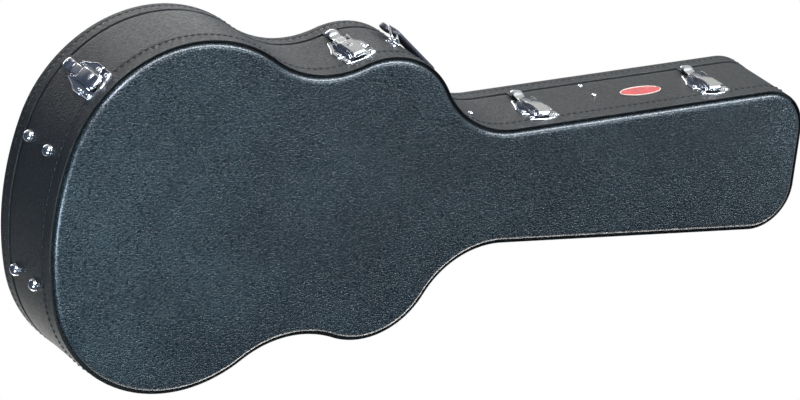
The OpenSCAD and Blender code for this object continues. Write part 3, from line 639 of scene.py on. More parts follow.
def plate_grid(outline: Array, low: float, high: float, bevel: float, steps: int = 4,
               both: bool = False) -> Array:
    """Bevelled plate: the outline rises from low to high, then turns in along a quarter circle.

    Args:
        outline: Closed polygon, one row per corner.
        low: Height of the back.
        high: Height of the front.
        bevel: Radius of the rounded edge.
        steps: Steps of the rounding.
        both: Whether the back edge is rounded as well.

    Returns:
        Rows of points (a, b, height), from the back to the front.
    """
    if np.cross(outline, np.roll(outline, -1, 0)).sum() < 0:
        outline = outline[::-1]
    out = polygon_normals(outline)
    a = np.linspace(0, QUARTER, steps + 1)
    inset = bevel * (1 - np.cos(a))
    height = high - bevel + bevel * np.sin(a)
    if both:
        inset = np.concatenate([inset[::-1], inset])
        height = np.concatenate([low + high - height[::-1], height])
    else:
        inset, height = np.concatenate([[0.0], inset]), np.concatenate([[low], height])
    return raised(outline[None] - inset[:, None, None] * out[None], height)


def dome_grid(profile: Array, turns: int = 28) -> Array:
    """Surface of revolution about the third axis: each profile point (radius, height) becomes a circle.

    Args:
        profile: Rows of radius and height.
        turns: Points round each circle.

    Returns:
        Grid of profile x turns x 3.
    """
    a = full_turn(turns)
    r, h = profile[:, 0, None], profile[:, 1, None]
    return np.stack([r * np.cos(a), r * np.sin(a), np.broadcast_to(h, (len(profile), turns))], -1)


def tube_grid(path: Array, radius: float, sides: int = 12) -> Array:
    """Round tube along a closed path that lies in one plane.

    Args:
        path: Points of the path in the plane.
        radius: Radius of the tube.
        sides: Points round the tube.

    Returns:
        Rows of points (a, b, height): centre plus radius times (cos, outward) and (sin, up).
    """
    out = polygon_normals(path)
    out /= np.linalg.norm(out, axis=1, keepdims=True)
    a = full_turn(sides)
    flat = path[:, None] + radius * np.cos(a)[None, :, None] * out[:, None]
    lift = np.broadcast_to(radius * np.sin(a)[None, :, None], (len(path), sides, 1))
    return np.concatenate([flat, lift], -1)


def smooth_step(x: Array, low: float, high: float) -> Array:
    """Rises from 0 at low to 1 at high along a cubic."""
    t = np.clip((x - low) / (high - low), 0, 1)
    return t * t * (3 - 2 * t)


def round_rect(width: float, height: float, radius: float, steps: int = 6) -> Array:
    """Rectangle about the origin with rounded corners, counter-clockwise.

    Args:
        width: Width of the rectangle.
        height: Height of the rectangle.
        radius: Radius of its corners.
        steps: Steps of each corner.

    Returns:
        Points of the outline.
    """
    a = np.linspace(0, QUARTER, steps + 1)
    quarter = radius * ray(a)
    corner = np.array([width / 2 - radius, height / 2 - radius])
    flips = [(1, 1, 1), (-1, 1, -1), (-1, -1, 1), (1, -1, -1)]
    return np.concatenate([(quarter + corner)[::d] * np.array([sx, sy]) for sx, sy, d in flips])


def follow(at: Array, run: Array, path: Array) -> Array:
    """Points of a plane path at those runs along it, in straight lines between its corners."""
    return np.stack([np.interp(at, run, path[:, k]) for k in (0, 1)], -1)


def path_run(path: Array) -> Array:
    """Run along a plane path up to each of its corners."""
    return np.concatenate([[0.0], np.cumsum(np.linalg.norm(np.diff(path, axis=0), axis=1))])


def smooth_outline(corners: Array, step: float, reach: float) -> Array:
    """Rounds a closed polygon: even samples along its sides, each averaged with its neighbours under a bell.

    Args:
        corners: Corners of the polygon.
        step: Distance between samples.
        reach: Distance over which neighbours are averaged.

    Returns:
        Points of the rounded outline.
    """
    ring = np.concatenate([corners, corners[:1]])
    run = path_run(ring)
    count = math.ceil(run[-1] / step)
    even = follow(np.arange(count) / count * run[-1], run, ring)
    half = max(1, round(reach / step))
    bell = np.hanning(2 * half + 3)[1:-1]
    turn = (np.arange(count)[:, None] + np.arange(-half, half + 1)) % count
    return np.einsum("nkc,k->nc", even[turn], bell / bell.sum())


def soften(node: str, material: Material, width: float) -> None:
    """Gives a node that stays its material and finely rounded edges.

    Args:
        node: Name of the node.
        material: Its material.
        width: Width of the rounded edge in millimetres.
    """
    piece = frame["nodes"][node]
    piece.data.materials.clear()
    piece.data.materials.append(material)
    weld = piece.modifiers.new("weld", "WELD")
    weld.merge_threshold = 1e-6
    bevel = piece.modifiers.new("edge", "BEVEL")
    bevel.width = width * MM
    bevel.segments = 2
    bevel.limit_method = "ANGLE"
    bevel.angle_limit = math.radians(35)
    bevel.use_clamp_overlap = True
    LOG.info("%s: edges rounded by %.2f mm", node, width)


# Outline of the case


def heading(v: Array) -> float:
    """Direction of a plane vector in radians."""
    return math.atan2(v[1], v[0])


@dataclass(frozen=True)
class Outline:
    """Plan of the case: tail, lower bout, waist, upper bout, shoulder, neck and head, all tangent."""

    length: float = 1080.0
    lower_w: float = 460.0
    lower_r: float = 176.0
    tail_r: float = 385.0
    upper_w: float = 375.0
    upper_r: float = 102.0
    upper_from_tail: float = 449.0
    waist_r: float = 134.0
    shoulder_r: float = 115.0
    neck_w: float = 149.0
    head_w: float = 196.0
    corner_r: float = 58.0
    neck_root: float = 60.0
    step: float = 4.0

    @property
    def half(self) -> float:
        """Half of the length."""
        return self.length / 2

    @property
    def slope(self) -> float:
        """Spread of the neck's side per millimetre."""
        return (self.head_w - self.neck_w) / 2 / (self.half - self.neck_root)

    @property
    def tilt(self) -> float:
        """Angle of the neck's side in radians."""
        return math.atan(self.slope)

    def neck_half(self, x: Array | float) -> Array | float:
        """Half width of the neck box at x."""
        return self.neck_w / 2 + self.slope * (x - self.neck_root)

    def centres(self) -> dict[str, Array]:
        """Centres of the arcs on the +Y side, each found from its tangency to its neighbours.

        Returns:
            Centre by the arc's name.
        """
        lower_y = self.lower_w / 2 - self.lower_r
        tail = np.array([self.tail_r - self.half, 0.0])
        lower = np.array([tail[0] - math.sqrt((self.tail_r - self.lower_r) ** 2 - lower_y ** 2), lower_y])
        upper = np.array([self.upper_from_tail - self.half, self.upper_w / 2 - self.upper_r])
        gap = upper - lower
        span = float(np.linalg.norm(gap))
        low, high = self.lower_r + self.waist_r, self.upper_r + self.waist_r
        along = (low ** 2 - high ** 2 + span ** 2) / (2 * span)
        off = math.sqrt(low ** 2 - along ** 2)
        waist = lower + along * gap / span + off * np.array([-gap[1], gap[0]]) / span
        out = np.array([-math.sin(self.tilt), math.cos(self.tilt)])
        run = np.array([math.cos(self.tilt), math.sin(self.tilt)])
        root = np.array([self.neck_root, self.neck_w / 2]) + self.shoulder_r * out - upper
        ahead = float(root @ run)
        shoulder = upper + root + run * (
            math.sqrt(ahead ** 2 - float(root @ root) + (self.upper_r + self.shoulder_r) ** 2) - ahead)
        corner_x = self.half - self.corner_r
        corner = np.array([corner_x, self.neck_half(corner_x) - self.corner_r / math.cos(self.tilt)])
        return {"tail": tail, "lower": lower, "waist": waist, "upper": upper,
                "shoulder": shoulder, "corner": corner}

    def arcs(self) -> list[tuple[Array, float, float, float, float]]:
        """Arcs of the +Y side as centre, radius, start, end and bulge (1 outwards, -1 hollow).

        Returns:
            One row per arc, from the tail to the head's corner.
        """
        c = self.centres()

        def way(start: str, end: str) -> float:
            """Direction from one centre to another."""
            return heading(c[end] - c[start])

        return [
            (c["tail"], self.tail_r, math.pi, way("tail", "lower"), 1.0),
            (c["lower"], self.lower_r, way("tail", "lower"), way("lower", "waist"), 1.0),
            (c["waist"], self.waist_r, TURN + way("waist", "lower"), TURN + way("waist", "upper"), -1.0),
            (c["upper"], self.upper_r, way("upper", "waist"), way("upper", "shoulder"), 1.0),
            (c["shoulder"], self.shoulder_r, TURN + way("shoulder", "upper"),
             1.5 * math.pi + self.tilt, -1.0),
            (c["corner"], self.corner_r, 0.5 * math.pi + self.tilt, 0.0, 1.0),
        ]

    def line(self, a: Array, b: Array, normal: Array) -> tuple[Array, Array]:
        """Points from a up to b, without b, and their normal.

        Args:
            a: First point.
            b: Point after the last.
            normal: Normal of the line.

        Returns:
            The points, and the normal once for each.
        """
        n = max(2, math.ceil(float(np.linalg.norm(b - a)) / self.step))
        t = np.arange(n)[:, None] / n
        return a + t * (b - a), np.broadcast_to(normal, (n, 2))

    def stations(self) -> tuple[Array, Array]:
        """Points of the whole outline and their outward normals, once round from the tail's middle.

        Returns:
            Points and normals, one row per station.
        """
        points, normals = [], []
        for centre, radius, start, end, bulge in self.arcs():
            first = centre + radius * ray(start)
            if points and np.linalg.norm(last - first) > 1:
                p, n = self.line(last, first, last_normal)
                points.append(p)
                normals.append(n)
            count = math.ceil(abs(end - start) * radius / self.step)
            rays = ray(start + (end - start) * np.arange(count) / count)
            points.append(centre + radius * rays)
            normals.append(bulge * rays)
            last, last_normal = centre + radius * ray(end), bulge * ray(end)
        middle = np.array([self.half, 0.0])
        p, n = self.line(last, middle, last_normal)
        half_p = np.concatenate([*points, p, middle[None]])
        half_n = np.concatenate([*normals, n, np.array([[1.0, 0.0]])])
        flip = np.array([1.0, -1.0])
        return tuple(np.concatenate([side, side[-2:0:-1] * flip]) for side in (half_p, half_n))


class Loop:
    """The sampled outline, ready to carry profiles round the case."""

    def __init__(self, outline: Outline) -> None:
        """Samples the outline and its run.

        Args:
            outline: Plan of the case.
        """
        self.outline = outline
        self.points, self.normals = outline.stations()
        self.run = path_run(np.concatenate([self.points, self.points[:1]]))

    def carry(self, section: Array) -> Array:
        """Carries a section round the outline.

        Args:
            section: Rows of inset and height.

        Returns:
            Grid of section x stations x 3: the station less inset times its normal, at that height.
        """
        return raised(self.points[None] - section[:, 0, None, None] * self.normals[None], section[:, 1])

    def spine(self) -> Array:
        """Place on the middle line for each station: its x, drawn in from both ends, at y = 0.

        Returns:
            One plane point per station.
        """
        x = self.points[:, 0]
        tail_end, head_end, drawn = 150, 80, 0.3
        low, high = tail_end - self.outline.half, self.outline.half - head_end
        x = np.where(x < low, low + drawn * (x - low), np.where(x > high, high + drawn * (x - high), x))
        return np.stack([x, np.zeros_like(x)], -1)

    def face(self, inset: float, height: Array, share: Array) -> Array:
        """Fills the outline: each station runs from its inset edge to its place on the middle line.

        Args:
            inset: Inset of the edge.
            height: Height of each row.
            share: Share of the way to the middle line of each row, from 0 to 1.

        Returns:
            Grid of rows x stations x 3.
        """
        edge = self.points - inset * self.normals
        return raised(edge[None] + share[:, None, None] * (self.spine() - edge)[None], height)

    def at(self, run: Array) -> tuple[Array, Array]:
        """Points and unit normals of the outline at runs along it.

        Args:
            run: Runs from the tail's middle.

        Returns:
            The points and the normals.
        """
        run = np.mod(run, self.run[-1])
        closed = (np.concatenate([row, row[:1]]) for row in (self.points, self.normals))
        point, normal = (follow(run, self.run, row) for row in closed)
        return point, normal / np.linalg.norm(normal, axis=-1, keepdims=True)


class Spot:
    """Frame on a wall: a runs along the wall, b outwards, c up."""

    def __init__(self, point: Array, angle: float) -> None:
        """Keeps the place and the outward direction, given in degrees.

        Args:
            point: Place on the wall in plan.
            angle: Outward direction in degrees.
        """
        a = math.radians(angle)
        self.base = np.array([*point, 0.0])
        self.along = np.array([math.sin(a), -math.cos(a), 0.0])
        self.out = np.array([math.cos(a), math.sin(a), 0.0])
        self.up = np.array([0.0, 0.0, 1.0])

    def place(self, a: Array, b: Array, c: Array) -> Array:
        """Points of the case for local coordinates along, out and up."""
        a, b, c = (v[..., None] for v in np.broadcast_arrays(a, b, c))
        return self.base + a * self.along + b * self.out + c * self.up

    def stand(self, g: Array, along: float = 0.0) -> Array:
        """Points of a plate that stands on the wall, thick along it: g holds out, up and thickness."""
        return self.place(along + g[..., 2], g[..., 0], g[..., 1])

    def lie(self, g: Array, along: float = 0.0, out: float = 0.0, up: float = 0.0) -> Array:
        """Points of a plate or dome that lies on the wall: g holds along, up and height over the wall."""
        return self.place(g[..., 0] + along, out + g[..., 2], g[..., 1] + up)


# Shell


@dataclass(frozen=True)
class Shell:
    """Leatherette tub and lid: walls, big faces with rounded borders, and the sewn seams."""

    loop: Loop
    depth: float = 138.0
    seam: float = 112.0
    tub_wall: float = 6.0
    lid_wall: float = 5.4
    rim_w: float = 7.5
    rim_h: float = 6.0
    panel: float = 7.6
    lip: float = 0.9
    lip_h: float = 2.4
    channel: float = 3.8
    channel_h: float = 2.4
    tub_edge: float = 4.0
    lid_edge: float = 0.7
    tub_stitch: float = 25.0
    lid_stitch: float = 125.6
    stitch: float = 6.2
    pitch: float = 9.0
    thread_r: float = 0.95
    thread_rise: float = 0.6
    thread_spread: float = 1.3
    dip: float = 0.4
    dip_w: float = 1.5
    parting: float = 1.4
    overhang: float = 0.6
    taut_h: float = 1.2

    def wall_section(self, edge: float, thick: float, stitch: float, turn: float) -> Array:
        """Wall section, heights counted from the big face: a folded lip, the outside and a rounded far edge.

        Args:
            edge: Height of the far edge, at the parting of tub and lid.
            thick: Thickness of the wall.
            stitch: Height of the sewn seam, which lies in a shallow dip.
            turn: Radius of the far edge.

        Returns:
            Closed rows of inset and height; between lip and border they leave a deep narrow groove.
        """
        r = self.lip / 2
        front = self.panel - self.lip_h + r
        inner = self.lip + self.channel
        groove = np.array([[thick, self.panel], [inner, self.panel], [inner, self.panel + self.channel_h],
                           [self.lip, self.panel + self.channel_h]])
        a = np.linspace(0, math.pi, 9)
        fold = np.stack([r + r * np.cos(a), front - r * np.sin(a)], -1)
        coarse, fine = np.linspace(front + 0.4, edge - turn, 14), stitch + np.linspace(-5, 5, 25)
        z = np.unique(np.concatenate([coarse, fine]))
        z = z[(z > front) & (z <= edge - turn)]
        outside = np.stack([self.dip * np.exp(-((z - stitch) / self.dip_w) ** 2), z], -1)
        b = np.linspace(0, QUARTER, 7)[1:]
        far = np.stack([turn - turn * np.cos(b), edge - turn + turn * np.sin(b)], -1)
        return np.concatenate([groove, fold, outside, far, [[thick, edge]]])

    def face_grid(self) -> Array:
        """Big face from outside at height 0: a flat field, a quarter-round border, its side and the back.

        Returns:
            Grid of rows x stations x 3.
        """
        rim = self.lip + self.channel
        share = np.concatenate([[1.0], np.linspace(0.96, 0.0, 26)])
        field_rows = self.loop.face(rim + self.rim_w, np.zeros_like(share), share)
        a = np.linspace(0, QUARTER, 14)[1:]
        border = np.stack([rim + self.rim_w * (1 - np.sin(a)), self.rim_h * (1 - np.cos(a))], -1)
        side = np.array([[rim + 0.05, self.panel]])
        back = self.loop.face(rim + 0.05, np.full(len(share), self.panel), share[::-1])
        return np.concatenate([field_rows, self.loop.carry(np.concatenate([border, side])), back[1:]])

    def face(self, name: str, body: Body, node: str, material: Material, flip: bool) -> None:
        """Builds a big face, turned over for the lid, and marks its border as stretched.

        Args:
            name: Name of the piece.
            body: Body that it rides on.
            node: Node that it stands for.
            material: Its material.
            flip: Whether it is the lid's face.
        """
        grid = self.face_grid()
        if flip:
            grid = grid * np.array([1, 1, -1]) + np.array([0, 0, self.depth])
        piece = Mesh().sleeve(grid).piece(name, body.value, material, Slot.LEATHERETTE,
                                          (node,), sharp=50, weld=True)
        place = np.empty(3 * len(piece.data.vertices))
        piece.data.vertices.foreach_get("co", place)
        height = place[2::3] / MM
        taut = smooth_step(self.depth - height if flip else height, 0.0, self.taut_h)
        piece.data.attributes.new(STRETCH, "FLOAT", "POINT").data.foreach_set("value", taut)

    def stitches(self, height: float, sink: float) -> Array:
        """Stitches of one seam: short threads that rise from the cover and dive back.

        Args:
            height: Height of the seam.
            sink: Depth of the seam's dip.

        Returns:
            Array of stitches x rows x sides x 3; each row is a circle about the thread's arch.
        """
        total = self.loop.run[-1]
        count = round(total / self.pitch)
        t = np.linspace(-1, 1, 9)
        run = (np.arange(count) * total / count)[:, None] + t * self.stitch / 2
        point, normal = self.loop.at(run)
        thick = self.thread_r * np.sqrt(np.clip(1.02 - t ** 2, 0, 1)) + 0.05
        arch = -sink + self.thread_rise * (1 - t ** 2) + 0.1
        a = full_turn(8)
        out = arch[:, None] + thick[:, None] * np.cos(a)
        up = height + thick[:, None] * np.sin(a) * self.thread_spread
        flat = point[:, :, None] + out[None, :, :, None] * normal[:, :, None]
        lift = np.broadcast_to(up[None, :, :, None], (*flat.shape[:3], 1))
        return np.concatenate([flat, lift], -1)

    def build(self, wardrobe: Wardrobe) -> None:
        """Builds the walls, the faces and the seams.

        Args:
            wardrobe: The materials by finish.
        """
        leather, side, thread = wardrobe["shell"], wardrobe["side"], wardrobe["thread"]
        part = self.parting / 2
        tub = self.wall_section(self.seam - part, self.tub_wall, self.tub_stitch, self.tub_edge)
        lid = self.wall_section(self.depth - self.seam - part, self.lid_wall, self.depth - self.lid_stitch,
                                self.lid_edge)
        lid[:, 0] -= np.where(lid[:, 0] < self.lip + 0.5, self.overhang, 0.0)
        lid = lid * np.array([1, -1]) + np.array([0.0, self.depth])
        halves = ("tub_wall_latch_side", "tub_wall_hinge_side")
        for name, body, section, nodes in (("tub_wall_cover", Body.TUB, tub, halves),
                                           ("lid_wall_cover", Body.LID, lid, ("lid_side_wall",))):
            Mesh().ring(self.loop.carry(section)).piece(name, body.value, side, Slot.LEATHERETTE,
                                                        nodes, sharp=50)
        self.face("tub_face_cover", Body.TUB, "tub_bottom_panel", leather, False)
        self.face("lid_face_cover", Body.LID, "lid_top_panel", leather, True)
        for name, body, height in (("tub_seam_thread", Body.TUB, self.tub_stitch),
                                   ("lid_seam_thread", Body.LID, self.lid_stitch)):
            Mesh().many(self.stitches(height, self.dip)).piece(name, body.value, thread, Slot.LEATHERETTE)


# Lining


@dataclass(frozen=True)
class Lining:
    """Plush inside: band, floor, padding, partitions, cradle, flap and the lid's pad."""

    loop: Loop
    floor: float = 12.6
    seat: float = 12.75
    panel: float = 7.6
    band: tuple[float, float] = (6.15, 8.15)
    band_top: float = 119.0
    inset: float = 8.3
    pad_t: float = 16.0
    pad_h: float = 88.0
    body_x: float = 64.0
    head_x: float = 257.0
    board_t: float = 8.0
    body_h: float = 61.0
    head_h: float = 94.0
    saddle_w: float = 72.0
    saddle_low: float = 80.75
    saddle_pad: float = 6.0
    flap_z: float = 73.9
    flap_t: float = 5.0
    flap_half: float = 60.0
    rail_h: float = 12.0
    tab: tuple[float, float, float] = (22.0, 29.0, 1.6)
    tab_over: float = 7.5
    lid_pad: tuple[float, float] = (125.4, 130.4)

    def half_at(self, x: Array) -> Array:
        """Half width of the lined space at x, read from the outline's +Y side.

        Args:
            x: Places along the case.

        Returns:
            Half width at each place.
        """
        half = len(self.loop.points) // 2 + 1
        p = (self.loop.points - self.inset * self.loop.normals)[:half]
        return np.interp(x, p[:, 0], p[:, 1])

    def pad_cover(self, inset: float, low: float, high: float, crown: float) -> Array:
        """Closed pad over the whole plan: flat back, rounded edge and a front that swells by crown.

        Args:
            inset: Inset of the pad's edge.
            low: Height of the back.
            high: Height of the front at its edge.
            crown: Rise of the front in its middle.

        Returns:
            Grid of rows x stations x 3.
        """
        share = np.linspace(1, 0, 24) ** 1.4
        r = (high - low) / 2
        a = np.linspace(0, math.pi, 9)[1:-1]
        front = self.loop.face(inset + r, high + crown * np.sqrt(share), share)
        edge = self.loop.carry(np.stack([inset + r - r * np.sin(a), low + r + r * np.cos(a)], -1))
        back = self.loop.face(inset + r, np.full(len(share), low), share[::-1])
        return np.concatenate([front, edge, back])

    def build_pads(self, plush: Material) -> None:
        """Floor pad, lid pad, band and the padding round the body.

        Args:
            plush: Material of the lining.
        """
        floor = self.pad_cover(self.band[0] + 0.3, self.panel + 0.1, self.floor - 0.6, 0.6)
        low, high = self.lid_pad
        lid = self.pad_cover(self.inset, 0.0, high - low - 0.8, 0.8) * np.array([1, 1, -1])
        lid = lid + np.array([0, 0, high])
        for name, body, grid, node in (("floor_plush", Body.TUB, floor, "tub_floor_lining"),
                                       ("lid_plush", Body.LID, lid, "lid_padding")):
            piece = Mesh().sleeve(grid).piece(name, body.value, plush, Slot.PLUSH,
                                              (node,), sharp=60, weld=True)
        mid, half = sum(self.band) / 2, (self.band[1] - self.band[0]) / 2
        section = round_rect(2 * half, self.band_top - self.seat, radius=0.95, steps=4) + np.array(
            [mid, (self.band_top + self.seat) / 2])
        Mesh().ring(self.loop.carry(section)).piece("band_plush", Body.TUB.value, plush, Slot.PLUSH,
                                                    ("tub_band_latch_side", "tub_band_hinge_side"), sharp=60)
        self.build_body_pad(plush)

    def build_body_pad(self, plush: Material) -> None:
        """Padding round the guitar's body: a rounded section carried along the body's part of the outline.

        Args:
            plush: Material of the lining.
        """
        end = self.body_x - self.board_t / 2 - 0.3
        section = round_rect(self.pad_t, self.pad_h, radius=6.0, steps=6) + np.array(
            [self.inset + self.pad_t / 2, self.seat + self.pad_h / 2])
        section[:, 0] += 0.9 * np.cos((section[:, 1] - self.seat) / self.pad_h * TURN) * (
            section[:, 0] > self.inset + self.pad_t / 2)
        grid = np.swapaxes(self.loop.carry(section), 0, 1)
        keep = grid[..., 0].min(1) < end
        first = int(np.argmax(~keep))
        grid = np.roll(grid, -first, 0)[np.roll(~keep, -first).sum():]
        grid = np.concatenate([np.minimum(grid[..., :1], end), grid[..., 1:]], -1)
        piece = Mesh().tube(grid).piece("body_padding_plush", Body.TUB.value, plush, Slot.PLUSH,
                                        ("tub_padding_latch_side", "tub_padding_hinge_side"), sharp=60)

    def board(self, x: float, outline: Array, name: str, node: str, plush: Material) -> None:
        """Covered board across the case: an outline in Y and Z, thick along X, with rounded edges.

        Args:
            x: Place of the board's middle.
            outline: Corners in Y and Z.
            name: Name of the piece.
            node: Node that it stands for.
            plush: Material of the lining.
        """
        t = self.board_t / 2
        g = plate_grid(outline, -t, t, bevel=2.2, steps=5, both=True)
        grid = np.stack([x + g[..., 2], g[..., 0], g[..., 1]], -1)
        Mesh().tube(grid).piece(name, Body.TUB.value, plush, Slot.PLUSH, (node,), sharp=60)

    def build_boards(self, plush: Material) -> None:
        """Body partition, head partition with its saddle, and the pad in the saddle.

        Args:
            plush: Material of the lining.
        """
        w = float(self.half_at(np.array(self.body_x + self.board_t / 2))) - 0.2
        top = self.seat + self.body_h
        flat = np.array([[-w, self.seat], [w, self.seat], [w, top], [-w, top]])
        self.board(self.body_x, flat, "body_partition_plush", "body_partition", plush)
        w = float(self.half_at(np.array(self.head_x - self.board_t / 2))) - 0.2
        r, mid, top = self.saddle_w / 2, self.saddle_low + self.saddle_w / 2, self.seat + self.head_h
        a = np.linspace(math.pi, TURN, 33)
        dip = np.stack([r * np.cos(a), np.minimum(mid + r * np.sin(a), top)], -1)
        dip = dip[np.abs(dip[:, 1] - top) > 0.01]
        reach = math.sqrt(r * r - (mid - top) ** 2) if top < mid else r
        outline = np.concatenate([[[-w, self.seat], [w, self.seat], [w, top], [reach, top]], dip[::-1],
                                  [[-reach, top], [-w, top]]])
        self.board(self.head_x, outline, "head_partition_plush", "head_partition", plush)
        self.build_cradle(plush, r, mid, top)

    def build_cradle(self, plush: Material, r: float, mid: float, top: float) -> None:
        """Pad in the saddle: a rounded section carried along the saddle's arc.

        Args:
            plush: Material of the lining.
            r: Radius of the saddle.
            mid: Height of the saddle's centre.
            top: Top of the board.
        """
        t = self.saddle_pad
        reach = math.asin(min(1.0, (mid - top + 1.0) / (r - t / 2)))
        a = np.linspace(math.pi + reach, TURN - reach, 40)
        slack = 0.3
        section = round_rect(t - slack, self.board_t - slack, radius=2.2, steps=5)
        radius = r - slack / 2 - t / 2 + section[:, 0]
        flat = radius[None, :, None] * ray(a)[:, None] + np.array([0.0, mid])
        grid = np.stack([np.broadcast_to(self.head_x + section[None, :, 1], flat.shape[:2]), flat[..., 0],
                         np.minimum(flat[..., 1], top - 0.1)], -1)
        piece = Mesh().tube(grid).piece("neck_cradle_plush", Body.TUB.value, plush, Slot.PLUSH,
                                        ("neck_cradle_pad",), sharp=60)

    def build_flap(self, wardrobe: Wardrobe) -> None:
        """Flap with rounded edges, its pull tab and the rail that carries it.

        Args:
            wardrobe: The materials by finish.
        """
        plush = wardrobe["plush"]
        x0, x1 = self.body_x - self.board_t / 2 + 0.5, self.head_x - self.board_t / 2 - 0.5
        outline = round_rect(x1 - x0, 2 * self.flap_half, radius=5.0) + np.array([(x0 + x1) / 2, 0])
        grid = plate_grid(outline, self.flap_z, self.flap_z + self.flap_t, bevel=1.8, steps=5, both=True)
        Mesh().tube(grid).piece("flap_plush", Body.FLAP.value, plush, Slot.PLUSH,
                                ("compartment_flap",), sharp=60)
        mid = (self.body_x + self.head_x) / 2
        tab_w, tab_l, tab_t = self.tab
        tab = round_rect(tab_w, tab_l, radius=6.0) + np.array([mid, -self.flap_half + self.tab_over])
        top = self.flap_z + self.flap_t
        grid = plate_grid(tab, top, top + tab_t, bevel=0.7, steps=3, both=True)
        Mesh().tube(grid).piece("pull_tab", Body.FLAP.value, wardrobe["grip"], Slot.GRIP,
                                ("flap_pull_tab",), sharp=60)
        x = np.linspace(self.body_x + self.board_t / 2 + 0.3, self.head_x - self.board_t / 2 - 0.3, 60)
        inner = np.stack([x, np.full_like(x, self.flap_half - 4)], -1)
        outer = np.stack([x, self.half_at(x) - 0.2], -1)[::-1]
        rail = np.concatenate([inner, outer])
        grid = plate_grid(rail, self.flap_z - self.rail_h, self.flap_z - 0.15, bevel=1.2, steps=4)
        Mesh().tube(grid).piece("flap_rail_plush", Body.TUB.value, plush, Slot.PLUSH,
                                ("flap_rail",), sharp=60)

    def build(self, wardrobe: Wardrobe) -> None:
        """Builds the whole lining.

        Args:
            wardrobe: The materials by finish.
        """
        self.build_pads(wardrobe["plush"])
        self.build_boards(wardrobe["plush"])
        self.build_flap(wardrobe)


# Latches


